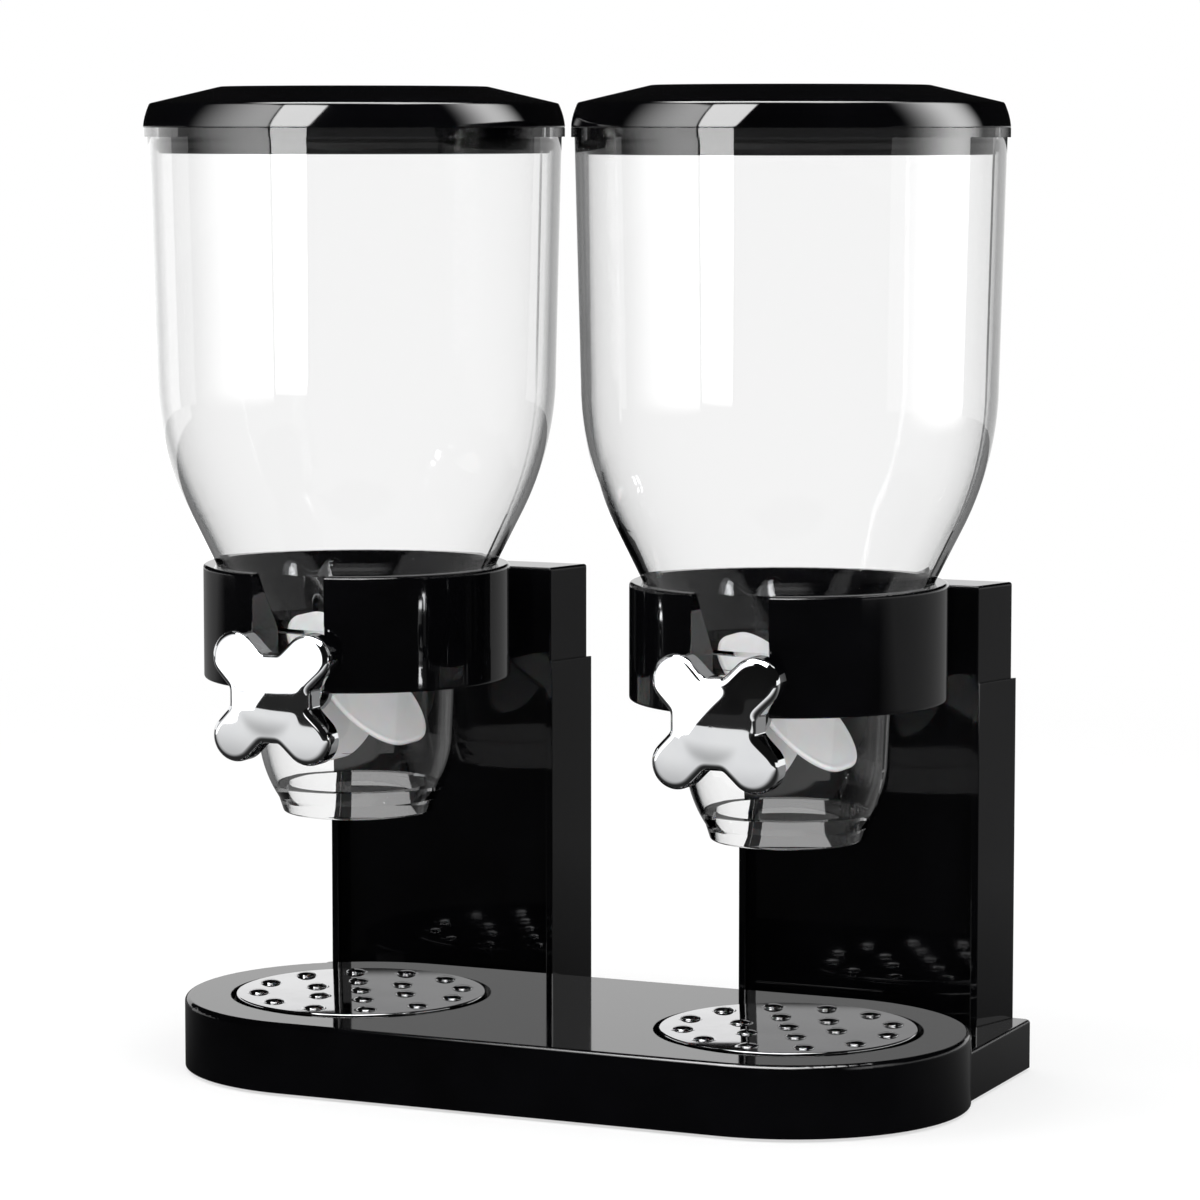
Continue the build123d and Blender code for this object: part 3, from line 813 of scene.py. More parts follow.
@dataclass
class PaddleWheel:
    """Soft wheel with petal vanes, each with a thin web and a rounded bead round its edge. Angles are in degrees."""

    side: Side
    axis_depth: float = -8.25 * MM
    axis_height: float = 149.0 * MM
    reach: float = 32.5 * MM
    half_width: float = 29.0 * MM
    corner: float = 24.0 * MM
    corner_steps: int = 16
    root: float = 3.4 * MM
    web: float = 0.72 * MM
    bead: float = 1.0 * MM
    vanes: int = 6
    start_angle: float = 46.0
    hub_radius: float = 5.2 * MM
    bore_radius: float = 2.95 * MM
    hub_rounds: tuple[float, ...] = (0.3 * MM, 0.6 * MM, 0.6 * MM, 0.3 * MM)
    round_steps: int = 4
    turn_steps: int = 64

    def vane_loop(self, inset: float, height: float) -> list[Vector]:
        """Outline of a vane.

        Args:
            inset: Distance inside the vane's edge.
            height: Height above its middle plane.

        Returns:
            The outline's points.
        """
        reach, half, corner = self.reach - inset, self.half_width - inset, self.corner - inset
        loop = [Vector((self.root, height, -half))]
        for sign, first in ((-1.0, -90.0), (1.0, 0.0)):
            for step in range(self.corner_steps + 1):
                turn = math.radians(first + 90.0 * step / self.corner_steps)
                across, along = corner * math.cos(turn), corner * math.sin(turn)
                loop.append(Vector((reach - corner + across, height, sign * (half - corner) + along)))
        loop.append(Vector((self.root, height, half)))
        return loop

    def vane(self) -> Thing:
        """Make one vane, lying along X with the wheel's axis along Z.

        Returns:
            The vane.
        """
        bead_edge = [
            (3.4 * MM, self.web),
            (2.6 * MM, self.web * 1.04),
            (1.9 * MM, self.bead * 0.93),
            (1.2 * MM, self.bead),
            (0.7 * MM, self.bead * 0.93),
            (0.25 * MM, self.bead * 0.66),
            (0.0, self.bead * 0.25),
        ]
        loops = [self.vane_loop(inset, height) for inset, height in bead_edge]
        loops += [self.vane_loop(inset, -height) for inset, height in reversed(bead_edge)]
        return Forms.thing("vane", Forms.loft(loops))

    def hub(self) -> Thing:
        """Make the hub round the shaft.

        Returns:
            The hub.
        """
        half, bore, rim = self.half_width, self.bore_radius, self.hub_radius
        corners = [(bore, -half), (rim, -half), (rim, half), (bore, half)]
        outline = Forms.rounded(corners, self.hub_rounds, self.round_steps)
        hub = Forms.thing("hub", Forms.lathe(outline, Vector(), self.turn_steps))
        hub.data.transform(Matrix.Translation(self.centre()) @ Matrix.Rotation(-math.pi / 2, 4, "X"))
        return hub

    def centre(self) -> Vector:
        """Middle of the wheel."""
        return self.side.point(self.axis_depth, self.axis_height)

    def build(self, shop: Workshop) -> None:
        """Make the wheel and deliver it.

        Args:
            shop: The shared tools.
        """
        values = {
            "Copies": self.vanes,
            "Start Angle": math.radians(self.start_angle),
            "Tilt": (-math.pi / 2, 0.0, 0.0),
            "Place": tuple(self.centre()),
            "Finish": shop.paint.material(Finish.SILICONE),
        }
        ring = shop.copier.run(self.vane(), shop.copier.ring_tree, values)
        wheel = Forms.join(self.side.node("soft_wheel"), [ring, self.hub()])
        Forms.smooth(wheel)
        shop.deliver(wheel, Finish.SILICONE, self.side.node("drive"), self.side.node("paddle_wheel"))


@dataclass
class LobedKnob:
    """Chromed knob with four lobes, a crowned front with a low dome in the middle, and a rounded edge."""

    side: Side
    lobe_radius: float = 9.2 * MM
    lobe_offset: float = 15.0 * MM
    waist: float = 33.0 * MM
    waist_power: int = 40
    edge_round: float = 2.6 * MM
    edge_steps: int = 8
    back_round: float = 0.6 * MM
    back_middle: float = 0.02
    crown_ball: float = 193.9 * MM
    dome_radius: float = 13.5 * MM
    dome_height: float = 0.75 * MM
    dome_power: int = 8
    steps_round: int = 256
    steps_in: int = 36

    def reach(self, turn: float) -> float:
        """Distance from the middle to the outline.

        Args:
            turn: Direction from the middle in radians.

        Returns:
            The distance.
        """
        quarter_turn = (turn + math.pi / 4) % (math.pi / 2) - math.pi / 4
        square = self.waist / 2.0 / math.cos(quarter_turn)
        swing = math.pi / 4 - abs(quarter_turn)
        middle = math.sqrt(2.0) * self.lobe_offset
        if math.tan(swing) * middle > self.lobe_radius:
            lobe = self.lobe_radius / math.sin(swing)
        else:
            lobe = middle * math.cos(swing) + math.sqrt(self.lobe_radius**2 - (middle * math.sin(swing)) ** 2)
        big, small = max(square, lobe), min(square, lobe)
        return big * (1.0 + (small / big) ** self.waist_power) ** (1 / self.waist_power)

    def outline(self) -> list[tuple[Vector, Vector]]:
        """Trace the knob's outline.

        Returns:
            Points of the outline with the direction inwards at each.
        """
        turns = [2.0 * math.pi * step / self.steps_round for step in range(self.steps_round)]
        points = [Vector((math.cos(turn), math.sin(turn))) * self.reach(turn) for turn in turns]
        made = []
        for index, point in enumerate(points):
            along = (points[(index + 1) % len(points)] - points[index - 1]).normalized()
            made.append((point, Vector((-along.y, along.x))))
        return made

    def hollow(self, radius: float) -> float:
        """Depth of the front behind its foremost point.

        Args:
            radius: Distance from the middle.

        Returns:
            The depth.
        """
        share = (radius / self.dome_radius) ** 2
        step = self.dome_height * share / (1.0 + share**self.dome_power) ** (1 / self.dome_power)
        return radius**2 / (2.0 * self.crown_ball) + step

    def build(self, shop: Workshop) -> None:
        """Make the knob and deliver it.

        Args:
            shop: The shared tools.
        """
        low, high = (Vector(corner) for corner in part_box(self.side.node("knob")))
        middle = self.side.point(0.0, (low.z + high.z) / 2.0)
        outline = self.outline()

        def loop(inset: float, scale: float, depth: float | None, back: float = 0.0) -> list[Vector]:
            """One closed loop of the knob.

            Args:
                inset: Distance inside the outline.
                scale: Share of the size that is left.
                depth: The loop's place along Y, or None on the front's curve.
                back: Distance behind the front's curve.

            Returns:
                The loop's points.
            """
            made = []
            for point, inwards in outline:
                spot = (point + inwards * inset) * scale
                level = low.y + self.hollow(spot.length) + back if depth is None else depth
                made.append(middle + Vector((spot.x, level, spot.y)))
            return made

        loops = [loop(self.back_round, self.back_middle, high.y), loop(self.back_round, 1.0, high.y)]
        loops.append(loop(0.0, 1.0, high.y - self.back_round))
        for ahead, aside in quarter(self.edge_steps):
            loops.append(loop(self.edge_round * (1.0 - ahead), 1.0, None, self.edge_round * (1.0 - aside)))
        for step in range(1, self.steps_in):
            loops.append(loop(self.edge_round, 1.0 - step / self.steps_in, None))
        shape = Forms.loft(loops)
        bmesh.ops.poke(shape, faces=[face for face in shape.faces if len(face.verts) > 4])
        knob = Forms.thing(self.side.node("lobed_knob"), shape)
        Forms.smooth(knob)
        shop.deliver(knob, Finish.CHROME, self.side.node("drive"), self.side.node("knob"))


@dataclass
class LidCover:
    """Round lid with a bellied rim, a gentle slope and a flat top, hollow below."""

    side: Side
    axis_depth: float = -8.25 * MM
    foot: float = 357.0 * MM
    rim_height: float = 9.0 * MM
    rim_steps: int = 9
    rise: float = 6.3 * MM
    radius: float = 79.0 * MM
    shoulder_radius: float = 76.6 * MM
    plateau_radius: float = 50.0 * MM
    wall: float = 2.2 * MM
    belly: float = 1.7
    foot_rounds: Span = (0.3 * MM, 0.35 * MM)
    shoulder_round: float = 1.3 * MM
    plateau_round: float = 6.0 * MM
    round_steps: int = 7
    turn_steps: int = 192

    def profile(self) -> Profile:
        """Draw the lid's section, from the rim's foot over the top and back underneath.

        Returns:
            The closed outline.
        """
        shoulder, top = self.foot + self.rim_height, self.foot + self.rim_height + self.rise
        draft, plateau = self.radius - self.shoulder_radius, self.plateau_radius
        corners = [(self.radius - self.wall, self.foot)]
        for step in range(self.rim_steps + 1):
            inset = draft * (step / self.rim_steps) ** self.belly
            corners.append((self.radius - inset, self.foot + self.rim_height * step / self.rim_steps))
        corners += [(plateau, top), (0.0, top), (0.0, top - self.wall), (plateau, top - self.wall)]
        corners.append((self.shoulder_radius - self.wall, shoulder - self.wall))
        rim_radii = [0.0] * (self.rim_steps - 1)
        radii = [*self.foot_rounds, *rim_radii, self.shoulder_round, self.plateau_round, *[0.0] * 4]
        return Forms.rounded(corners, radii, self.round_steps)

    def build(self, shop: Workshop) -> None:
        """Make the lid and deliver it.

        Args:
            shop: The shared tools.
        """
        shape = Forms.lathe(self.profile(), self.side.point(self.axis_depth, 0.0), self.turn_steps)
        lid = Forms.thing(self.side.node("bellied_lid"), shape)
        Forms.smooth(lid)
        shop.deliver(lid, Finish.GLOSS_BLACK, self.side.node("lid"), self.side.node("lid_cover"))


@dataclass
class ServingDish:
    """Round dark-chromed dish with rings of low domes."""

    side: Side
    axis_depth: float = -6.75 * MM
    foot: float = 23.5 * MM
    top: float = 28.3 * MM
    radius: float = 47.7 * MM
    foot_round: float = 0.3 * MM
    edge_round: float = 0.7 * MM
    dome_radius: float = 4.3 * MM
    dome_height: float = 1.3 * MM
    dome_flare: float = 0.5 * MM
    dome_step: float = 0.06 * MM
    dome_root: float = 0.6 * MM
    dome_steps: int = 10
    dome_turn_steps: int = 32
    round_steps: int = 6
    turn_steps: int = 160
    rings: tuple[tuple[int, float], ...] = ((1, 0.0), (6, 19.0 * MM), (12, 39.0 * MM))

    def disc(self) -> Thing:
        """Make the flat disc with its rounded rim.

        Returns:
            The disc.
        """
        corners = [(0.0, self.foot), (self.radius, self.foot), (self.radius, self.top), (0.0, self.top)]
        outline = Forms.rounded(corners, [0.0, self.foot_round, self.edge_round, 0.0], self.round_steps)
        return Forms.thing("disc", Forms.lathe(outline, self.side.point(self.axis_depth, 0.0), self.turn_steps))

    def dome(self) -> Thing:
        """Make one dome with a small flare where it meets the disc.

        Returns:
            The dome.
        """
        skirt, shell = self.dome_radius + self.dome_flare, self.dome_radius - self.dome_flare
        rise = self.dome_height - self.dome_step
        profile = [(0.0, -self.dome_root), (skirt, -self.dome_root), (skirt, 0.0), (self.dome_radius, self.dome_step)]
        profile += [(shell * across, self.dome_step + rise * up) for across, up in quarter(self.dome_steps)]
        return Forms.thing("dome", Forms.lathe(profile, Vector(), self.dome_turn_steps))

    def build(self, shop: Workshop) -> None:
        """Make the dish and deliver it.

        Args:
            shop: The shared tools.
        """
        pieces = [self.disc()]
        for count, ring_radius in self.rings:
            values = {
                "Copies": count,
                "Ring Radius": ring_radius,
                "Place": tuple(self.side.point(self.axis_depth, self.top)),
                "Finish": shop.paint.material(Finish.DARK_CHROME),
            }
            pieces.append(shop.copier.run(self.dome(), shop.copier.ring_tree, values))
        dish = Forms.join(self.side.node("domed_dish"), pieces)
        Forms.smooth(dish)
        shop.deliver(dish, Finish.DARK_CHROME, self.side.node("serving_dish"), self.side.node("tray_dish"))


def islands(node: str) -> list[tuple[Vector, Vector]]:
    """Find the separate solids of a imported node.

    Args:
        node: Name of the node.

    Returns:
        Lowest and highest corner of each solid.
    """
    shape = bmesh.new()
    shape.from_mesh(frame["nodes"][node].data)
    bmesh.ops.remove_doubles(shape, verts=shape.verts, dist=WELD_DISTANCE)
    left = set(shape.verts)
    boxes = []
    while left:
        reached = [left.pop()]
        group = []
        while reached:
            vert = reached.pop()
            group.append(vert.co.copy())
            for edge in vert.link_edges:
                other = edge.other_vert(vert)
                if other in left:
                    left.remove(other)
                    reached.append(other)
        boxes.append(tuple(Vector([pick(co[axis] for co in group) for axis in range(3)]) for pick in (min, max)))
    shape.free()
    return sorted(boxes, key=lambda box: tuple(round(value, 5) for value in box[0]))


@dataclass
class Fittings:
    """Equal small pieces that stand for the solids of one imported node, each turned by its own seeded angle."""

    node: str
    body: str = "stand"
    lying: bool = False
    finish: Finish = Finish.BLACK_RUBBER
    largest_turn: float = 0.0
    seed: int = 1
    crisp_angle: float = 40.0

    @property
    def name(self) -> str:
        """Name of the finished set."""
        return f"{self.node}_set"

    def piece(self, length: float) -> Thing:
        """Make one piece of a length, standing on the origin."""
        raise NotImplementedError

    def place(self, low: Vector, high: Vector) -> Vector:
        """Find where a piece stands: below its solid's middle, or behind it if it lies.

        Args:
            low: Lowest corner of the solid.
            high: Highest corner of the solid.

        Returns:
            The place.
        """
        middle = (low + high) / 2.0
        return Vector((middle.x, high.y, middle.z)) if self.lying else Vector((middle.x, middle.y, low.z))

    def build(self, shop: Workshop) -> None:
        """Make the set and deliver it.

        Args:
            shop: The shared tools.
        """
        boxes = islands(self.node)
        size = boxes[0][1] - boxes[0][0]
        piece = self.piece(size.y if self.lying else size.z)
        if self.lying:
            piece.data.transform(Matrix.Rotation(math.pi / 2, 4, "X"))
        mesh = bpy.data.meshes.new(self.node)
        mesh.from_pydata([self.place(low, high) for low, high in boxes], [], [])
        values = {
            "Piece": piece,
            "Largest Turn": self.largest_turn,
            "Turn Axis": (0.0, 1.0, 0.0) if self.lying else (0.0, 0.0, 1.0),
            "Seed": self.seed,
            "Finish": shop.paint.material(self.finish),
        }
        made = shop.copier.run(show(self.name, mesh), shop.copier.places_tree, values)
        bpy.data.objects.remove(piece)
        Forms.smooth(made, self.crisp_angle)
        shop.deliver(made, self.finish, self.body, self.node)


@dataclass
class Screws(Fittings):
    """Cross-head screws with their heads down, or at the back where they lie."""

    finish: Finish = Finish.STEEL_SCREW
    largest_turn: float = math.pi
    seed: int = 7
    crisp_angle: float = 30.0
    head_radius: float = 2.8 * MM
    head_height: float = 1.4 * MM
    head_edge: tuple[Span, ...] = ((0.9 * MM, 0.0), (0.25 * MM, 0.3 * MM), (0.0, 0.75 * MM))
    shank_radius: float = 1.5 * MM
    thread_depth: float = 0.22 * MM
    thread_pitch: float = 0.9 * MM
    tip: float = 1.0 * MM
    recess_depth: float = 1.0 * MM
    recess_reach: float = 1.7 * MM
    recess_width: float = 0.62 * MM
    recess_taper: float = 0.45
    turn_steps: int = 32

    def blank(self, length: float) -> Thing:
        """Make the turned screw with its head at the foot.

        Args:
            length: Length with the head.

        Returns:
            The screw without its recess.
        """
        core = self.shank_radius - self.thread_depth
        profile = [(0.0, 0.0), *((self.head_radius - inset, height) for inset, height in self.head_edge)]
        profile += [(self.head_radius, self.head_height), (core, self.head_height)]
        height = self.head_height
        while height + self.thread_pitch < length - self.tip:
            profile.append((self.shank_radius, height + self.thread_pitch / 2.0))
            height += self.thread_pitch
            profile.append((core, height))
        profile.append((0.0, length))
        return Forms.thing("screw", Forms.lathe(profile, Vector(), self.turn_steps))

    def cutter(self) -> Thing:
        """Make the tapered cross that shapes the recess.

        Returns:
            The cross.
        """
        shape = bmesh.new()
        for turn in (0.0, math.pi / 2):
            bar = bmesh.ops.create_cube(shape, size=1.0)["verts"]
            for vert in bar:
                vert.co.x *= 2.0 * self.recess_reach * (self.recess_taper if vert.co.z > 0.0 else 1.0)
                vert.co.y *= self.recess_width
                vert.co.z *= 2.0 * self.recess_depth
            bmesh.ops.rotate(shape, verts=bar, matrix=Matrix.Rotation(turn, 3, "Z"))
        return Forms.thing("cross", shape)

    def piece(self, length: float) -> Thing:
        """Make one screw, standing on its head.

        Args:
            length: Length with the head.

        Returns:
            The screw.
        """
        screw, cutter = self.blank(length), self.cutter()
        cut = screw.modifiers.new("recess", "BOOLEAN")
        cut.operation, cut.object, cut.use_self = "DIFFERENCE", cutter, True
        mesh = Forms.baked(screw)
        screw.modifiers.clear()
        screw.data = mesh
        bpy.data.objects.remove(cutter)
        return screw


@dataclass
class RubberFeet(Fittings):
    """Round rubber feet with rounded rims and two grooves in the sole."""

    node: str = "rubber_feet"
    radius: float = 8.0 * MM
    rim_round: float = 0.6 * MM
    grooves: tuple[float, ...] = (3.0 * MM, 5.4 * MM)
    groove_width: float = 0.8 * MM
    groove_depth: float = 0.45 * MM
    groove_slope: float = 0.15 * MM
    round_steps: int = 5
    turn_steps: int = 64

    @property
    def name(self) -> str:
        """Name of the finished set."""
        return "grooved_feet"

    def piece(self, length: float) -> Thing:
        """Make one foot, standing on the origin.

        Args:
            length: The foot's thickness.

        Returns:
            The foot.
        """
        profile = [(0.0, 0.0)]
        for middle in self.grooves:
            near, far = middle - self.groove_width / 2, middle + self.groove_width / 2
            profile += [(near, 0.0), (near + self.groove_slope, self.groove_depth)]
            profile += [(far - self.groove_slope, self.groove_depth), (far, 0.0)]
        for down, out in quarter(self.round_steps):
            profile.append((self.radius - self.rim_round + self.rim_round * out, self.rim_round * (1.0 - down)))
        profile += [(self.radius, length), (0.0, length)]
        return Forms.thing("foot", Forms.lathe(profile, Vector(), self.turn_steps))


def area_lamp(name: str, size: Span, power: float, receivers: tuple[str, ...]) -> Thing:
    """Make a rectangular lamp that neither the camera nor clear pieces show.

    Args:
        name: Name of the lamp.
        size: Its width and height.
        power: Its power in watts.
        receivers: Endings of the names of the objects it lights, or none to light all.

    Returns:
        The lamp's object.
    """
    light = bpy.data.lights.new(name, "AREA")
    light.shape = "RECTANGLE"
    light.size, light.size_y = size
    light.energy = power
    lamp = show(name, light)
    lamp.visible_camera = lamp.visible_transmission = False
    if receivers:
        group = bpy.data.collections.new(f"{name}_receivers")
        for thing in bpy.context.scene.objects:
            if thing.name.endswith(receivers):
                group.objects.link(thing)
        lamp.light_linking.receiver_collection = group
    return lamp


@dataclass(frozen=True)
class SoftLamp:
    """Plain lamp that lights the object without showing in its gloss."""

    name: str
    place: Point
    size: Span
    power: float
    target: Point = (0.0, 0.0, 0.13)
    receivers: tuple[str, ...] = ()
    shadows: bool = True

    def build(self) -> None:
        """Hang the lamp and point it at its target."""
        lamp = area_lamp(self.name, self.size, self.power, self.receivers)
        lamp.location = self.place
        lamp.rotation_euler = (Vector(self.target) - Vector(self.place)).to_track_quat("-Z", "Y").to_euler()
        lamp.visible_glossy = False
        lamp.data.use_shadow = self.shadows


LAMPS = (
    SoftLamp("lamp_over", (0.0, -0.2, 1.9), (1.6, 1.6), 14.0),
    SoftLamp("lamp_left", (-1.5, -0.9, 1.0), (1.0, 1.2), 14.0),
    SoftLamp("lamp_right", (1.5, -0.9, 1.0), (1.0, 1.2), 12.0),
    SoftLamp("lamp_wheels", (0.6, -1.0, 1.1), (0.8, 0.8), 13.5, (0.0, 0.0, 0.149), ("soft_wheel",), False),
)


@dataclass(frozen=True)
class GlowCard:
    """Soft-edged rectangular lamp that shows only in the gloss of chosen pieces.

    The foot, the way to the right and the way up are as seen from behind the card, facing the object. Fades are
    the shares of the card over which it dims towards its left, right, lower and upper edge, and the lean cuts
    the right edge back at the foot by a share of the width. The power is in watts for each square metre.
    """

    name: str
    foot: Point
    right: Point
    up: Point
    brightness: float
    receivers: tuple[str, ...]
    fades: tuple[float, float, float, float] = (0.02, 0.02, 0.02, 0.02)
    lean: float = 0.0
    power: float = 4.0

    def build(self) -> None:
        """Hang the card and link it to its receivers."""
        right, up = Vector(self.right), Vector(self.up)
        power = self.power * right.length * up.length
        card = area_lamp(self.name, (right.length, up.length), power, self.receivers)
        card.location = Vector(self.foot) + (right + up) / 2.0
        across, rise = right.normalized(), up.normalized()
        card.rotation_euler = Matrix((across, rise, across.cross(rise))).transposed().to_euler()
        card.visible_diffuse = False
        card.data.use_nodes = True
        self.glow(NodeSheet(card.data.node_tree))

    def glow(self, sheet: NodeSheet) -> None:
        """Let the lamp dim towards its edges.

        Args:
            sheet: The lamp's node tree.
        """
        spot = sheet.add("ShaderNodeNewGeometry").outputs["Parametric"]
        place = sheet.add("ShaderNodeSeparateXYZ", Vector=spot).outputs
        along, up = place["X"], place["Y"]
        down, back = sheet.math("SUBTRACT", 1.0, up), sheet.math("SUBTRACT", 1.0, along)
        from_right = sheet.math("SUBTRACT", back, sheet.math("MULTIPLY", down, self.lean))
        level: Socket | float = self.brightness
        for way, fade in zip((along, from_right, up, down), self.fades):
            level = sheet.math("MULTIPLY", level, sheet.spread(way, 0.0, fade, (0.0, 1.0), "SMOOTHSTEP"))
        light = sheet.add("ShaderNodeEmission", Strength=level)
        sheet.add("ShaderNodeOutputLight", Surface=light.outputs["Emission"])


BANDS = ("lid_plug", "lid_seal")
LIDS = ("bellied_lid",)
CLEAR_GLOSS = (*LIDS, *BANDS, "hopper")
PLAIN_BLACKS = ("column", "base_shell")
BLACKS = (*PLAIN_BLACKS, "collar_bracket", "lobed_knob")
TALL = (0.0, 0.0, 1.4)
SOFT = (0.1, 0.1, 0.1, 0.1)
SOFTER = (0.2, 0.2, 0.2, 0.2)

CARDS = (
    GlowCard(
        "card_front", (-0.45, -1.14, 0.1), (0.59, 0.0, 0.0), TALL, 13.0, CLEAR_GLOSS, (0.01, 0.02, 0.05, 0.1), 0.37
    ),
    GlowCard("card_left", (-1.25, -0.35, 0.02), (0.79, -0.78, 0.0), TALL, 6.0, CLEAR_GLOSS, (0.9, 0.02, 0.12, 0.1)),
    GlowCard("card_right", (0.9, -0.17, 0.02), (0.0, 1.1, 0.0), TALL, 7.5, (*LIDS, "hopper"), (0.45, 0.55, 0.12, 0.1)),
    GlowCard("card_band", (0.9, 0.3, 0.02), (0.0, 1.2, 0.0), (0.0, 0.0, 1.0), 7.0, BANDS, (0.3, 0.3, 0.1, 0.1)),
    GlowCard("card_far_left", (-0.5, 1.2, 0.02), (-0.7, -1.4, 0.0), (0.0, 0.0, 0.9), 1.2, ("hopper",)),
    GlowCard("card_over", (-0.7, -0.5, 1.3), (1.4, 0.0, 0.0), (0.0, 1.0, 0.0), 12.0, LIDS, SOFTER),
    GlowCard("card_above", (-0.7, -1.3, 1.3), (1.4, 0.0, 0.0), (0.0, 1.8, 0.0), 14.0, BLACKS, SOFTER),
    GlowCard(
        "card_side", (1.1, -0.75, 0.02), (0.1, 1.0, 0.0), (0.0, 0.0, 0.9), 1.6, PLAIN_BLACKS, (0.4, 0.4, 0.1, 0.3)
    ),
    GlowCard("card_edges", (0.1, -1.25, 0.02), (1.15, 1.75, 0.0), (0.0, 0.0, 1.0), 9.0, ("column",), SOFT),
    GlowCard("card_domes", (-0.5, -1.2, 1.0), (1.0, 0.0, 0.0), (0.0, 1.2, 0.0), 3.0, ("domed_dish",)),
    GlowCard("card_panel", (-0.8, -0.9, 0.13), (0.9, -0.3, 0.0), (0.0, 0.0, 0.5), 6.0, ("column_panel",), SOFT),
    GlowCard("floor_for_chutes", (-1.5, -0.2, 0.003), (2.4, 0.0, 0.0), (0.0, -1.9, 0.0), 1.2, ("chute",)),
)


@dataclass(frozen=True)
class KnobSurround:
    """Pale floor and white wall that one knob mirrors, 0.6 m off to its front left.

    Reaches are distances along the wall from the spot straight off the knob. The wall's right edge leans out
    from the foot's reach to the bend's, and above the bend it stands upright at the top's reach.
    """

    side: Side
    bend: float
    bend_reach: float
    top_reach: float
    floor_depth: float
    wall_spot: Point = (-0.424, -0.424, 0.0)
    knob_depth: float = -0.08
    left_reach: float = 0.503
    foot_reach: float = 0.085
    wall_foot: float = 0.012
    wall_top: float = 1.2
    wall_glow: float = 1.08
    wall_fades: tuple[float, float, float, float] = (0.45, 0.006, 0.002, 0.0001)
    floor_start: float = -0.15
    floor_level: float = 0.003
    floor_left: float = 1.3
    floor_width: float = 2.2
    floor_glow: float = 0.64
    floor_fade: float = 0.4

    def cards(self) -> list[GlowCard]:
        """Work out the wall's two cards and the floor's card.

        Returns:
            The cards.
        """
        knob = self.side.node("lobed_knob")
        along = Vector((1.0, -1.0, 0.0)).normalized()
        start = self.side.point(self.knob_depth, 0.0) + Vector(self.wall_spot) - along * self.left_reach
        lean = 1.0 - (self.left_reach + self.foot_reach) / (self.left_reach + self.bend_reach)
        cards = []
        for name, low, high, reach, cut in (
            ("low", self.wall_foot, self.bend, self.bend_reach, lean),
            ("high", self.bend, self.wall_top, self.top_reach, 0.0),
        ):
            foot, wide = start + Vector((0.0, 0.0, low)), along * (self.left_reach + reach)
            place = (tuple(foot), tuple(wide), (0.0, 0.0, high - low))
            cards.append(GlowCard(f"{knob}_wall_{name}", *place, self.wall_glow, (knob,), self.wall_fades, cut))
        foot = self.side.point(self.floor_start, self.floor_level) - Vector((self.floor_left, 0.0, 0.0))
        place = (tuple(foot), (self.floor_width, 0.0, 0.0), (0.0, -self.floor_depth, 0.0))
        fades = (0.02, 0.02, self.floor_fade / self.floor_depth, 0.02)
        cards.append(GlowCard(f"{knob}_floor", *place, self.floor_glow, (knob,), fades))
        return cards


KNOB_SURROUNDS = (
    KnobSurround(Side.LEFT, bend=0.11, bend_reach=0.18, top_reach=0.7, floor_depth=0.52),
    KnobSurround(Side.RIGHT, bend=0.3, bend_reach=0.39, top_reach=0.39, floor_depth=0.85),
)


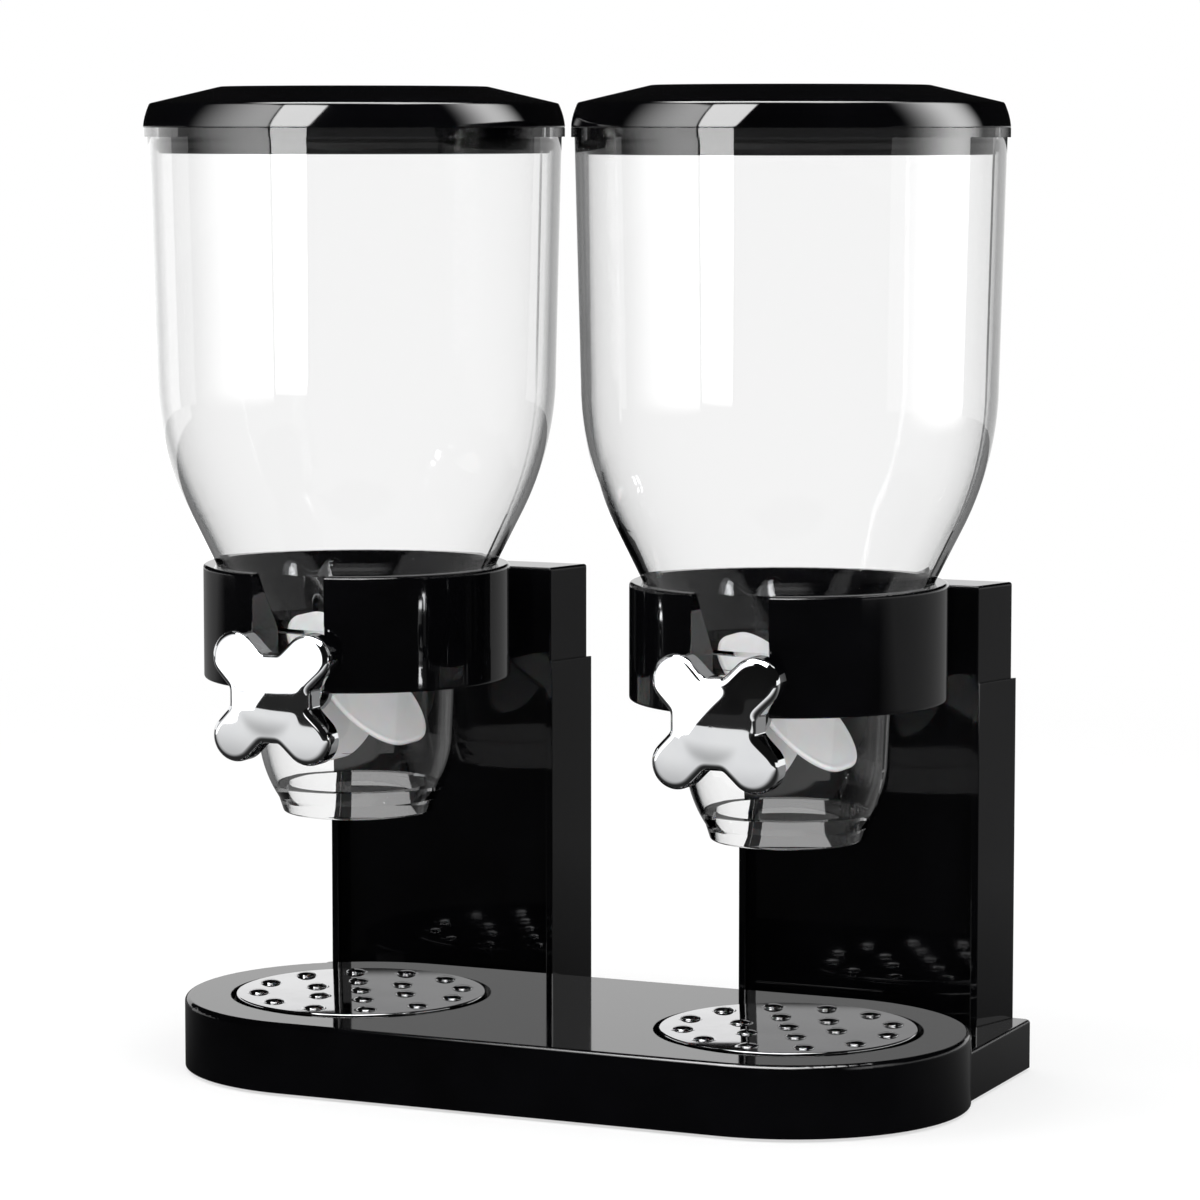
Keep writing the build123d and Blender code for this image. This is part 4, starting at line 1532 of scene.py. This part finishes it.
@dataclass
class Studio:
    """Pale floor, soft lamps, white surroundings and the camera of the photographed view.

    The floor turns from grey to plain white between the distances near and far from its middle. In gloss it is
    dark in front of mirror_front and grey behind mirror_back, the surroundings are dark, and a low white card
    stands round the back, sweeping over some degrees to each side.
    """

    camera_place: Point = (0.7029, -1.5528, 0.3579)
    camera_target: Point = (0.0129, -0.00825, 0.1830)
    focal_length: float = 137.8
    sensor_width: float = 36.0
    floor_radius: float = 6.0
    floor_grey: Span = (0.34, 0.36)
    floor_rough: float = 0.9
    grain_scale: float = 3.0
    grain_ends: Span = (0.3, 0.7)
    near: float = 0.3
    far: float = 1.3
    near_glow: float = 0.62
    mirror_front: float = -0.05
    mirror_back: float = 0.35
    mirror_glow: Span = (0.02, 0.25)
    card_radius: float = 1.1
    card_low: float = 0.10
    card_high: float = 0.34
    card_sweep: float = 105.0
    card_steps: int = 64
    felt_light: float = 0.75
    gloss_light: Span = (0.006, 0.28)

    def build(self) -> None:
        """Set up the whole studio."""
        self.aim_camera()
        self.lay_floor()
        self.stand_card()
        self.surround()
        knob_cards = [card for surround in KNOB_SURROUNDS for card in surround.cards()]
        for lamp in (*LAMPS, *CARDS, *knob_cards):
            lamp.build()
        bpy.context.scene.view_settings.view_transform = "Standard"

    def aim_camera(self) -> None:
        """Create the camera at the photographed viewing angle."""
        lens = bpy.data.cameras.new("camera")
        lens.lens, lens.sensor_width = self.focal_length, self.sensor_width
        camera = show("camera", lens)
        camera.location = self.camera_place
        aim = Vector(self.camera_target) - Vector(self.camera_place)
        camera.rotation_euler = aim.to_track_quat("-Z", "Y").to_euler()
        bpy.context.scene.camera = camera

    def lay_floor(self) -> None:
        """Lay a floor that keeps shadows, white from afar, and that gloss sees as dark in front and grey behind."""
        shape = bmesh.new()
        bmesh.ops.create_circle(shape, cap_ends=True, radius=self.floor_radius, segments=96)
        floor = Forms.thing("floor", shape)
        sheet = Shader("floor_finish")
        distance = sheet.add("ShaderNodeVectorMath", operation="LENGTH", Vector=sheet.place()).outputs["Value"]
        away = sheet.spread(distance, self.near, self.far, (0.0, 1.0))
        grain = sheet.spread(sheet.noise(self.grain_scale), *self.grain_ends, self.floor_grey)
        plain = sheet.add(
            "ShaderNodeBsdfPrincipled",
            Roughness=self.floor_rough,
            Specular_IOR_Level=0.0,
            Base_Color=sheet.math("MULTIPLY", grain, sheet.math("SUBTRACT", 1.0, away)),
            Emission_Color=WHITE,
            Emission_Strength=sheet.spread(away, 0.0, 1.0, (self.near_glow, 1.0)),
        )
        depth = sheet.add("ShaderNodeSeparateXYZ", Vector=sheet.place()).outputs["Y"]
        glow = sheet.spread(depth, self.mirror_front, self.mirror_back, self.mirror_glow)
        image = sheet.add("ShaderNodeEmission", Strength=glow)
        mirrored, _ = sheet.mirrored()
        surface = sheet.choose(mirrored, plain.outputs["BSDF"], image.outputs["Emission"])
        floor.data.materials.append(sheet.finish(surface))

    def stand_card(self) -> None:
        """Stand a low white card round the back, seen only in the gloss of the object."""
        verts: list[Point] = []
        for step in range(self.card_steps + 1):
            turn = math.radians(90.0 - self.card_sweep + 2.0 * self.card_sweep * step / self.card_steps)
            x, y = self.card_radius * math.cos(turn), self.card_radius * math.sin(turn)
            verts += [(x, y, self.card_low), (x, y, self.card_high)]
        mesh = bpy.data.meshes.new("white_card")
        mesh.from_pydata(verts, [], [(2 * i, 2 * i + 1, 2 * i + 3, 2 * i + 2) for i in range(self.card_steps)])
        card = show("white_card", mesh)
        sheet = Shader("white_card_finish")
        mesh.materials.append(sheet.finish(sheet.add("ShaderNodeEmission", Strength=1.0).outputs["Emission"]))
        card.visible_camera = card.visible_diffuse = False
        card.visible_transmission = card.visible_shadow = False

    def surround(self) -> None:
        """Make the surroundings white to the camera and through clear pieces, and dark to gloss."""
        world = bpy.data.worlds.new("surroundings")
        bpy.context.scene.world = world
        world.use_nodes = True
        sheet = NodeSheet(world.node_tree)
        mirrored, through = sheet.mirrored()
        path = sheet.add("ShaderNodeLightPath").outputs
        straight = sheet.math("MAXIMUM", path["Is Camera Ray"], path["Is Transmission Ray"])
        felt, seen, image = (
            sheet.add("ShaderNodeBackground", Color=WHITE, Strength=strength).outputs["Background"]
            for strength in (self.felt_light, 1.0, sheet.spread(through, 0.0, 1.0, self.gloss_light))
        )
        whole = sheet.choose(mirrored, sheet.choose(straight, felt, seen), image)
        sheet.add("ShaderNodeOutputWorld", Surface=whole)


def main() -> None:
    """Build the object, piece by piece, and the studio round it."""
    logging.basicConfig(level=logging.INFO, format="%(name)s: %(message)s")
    shop = Workshop()
    shop.paint.dress_nodes()
    RubberFeet().build(shop)
    Screws("base_screws").build(shop)
    for side in Side:
        Screws(side.node("column_screws")).build(shop)
        Screws(side.node("bracket_screws"), lying=True).build(shop)
        ServingDish(side).build(shop)
        PaddleWheel(side).build(shop)
        LobedKnob(side).build(shop)
        LidCover(side).build(shop)
        shop.paint.dress(frame["nodes"][side.node("lid_seal")], Finish.SMOOTH_RUBBER)
    Studio().build()


if __name__ == "__main__":
    main()
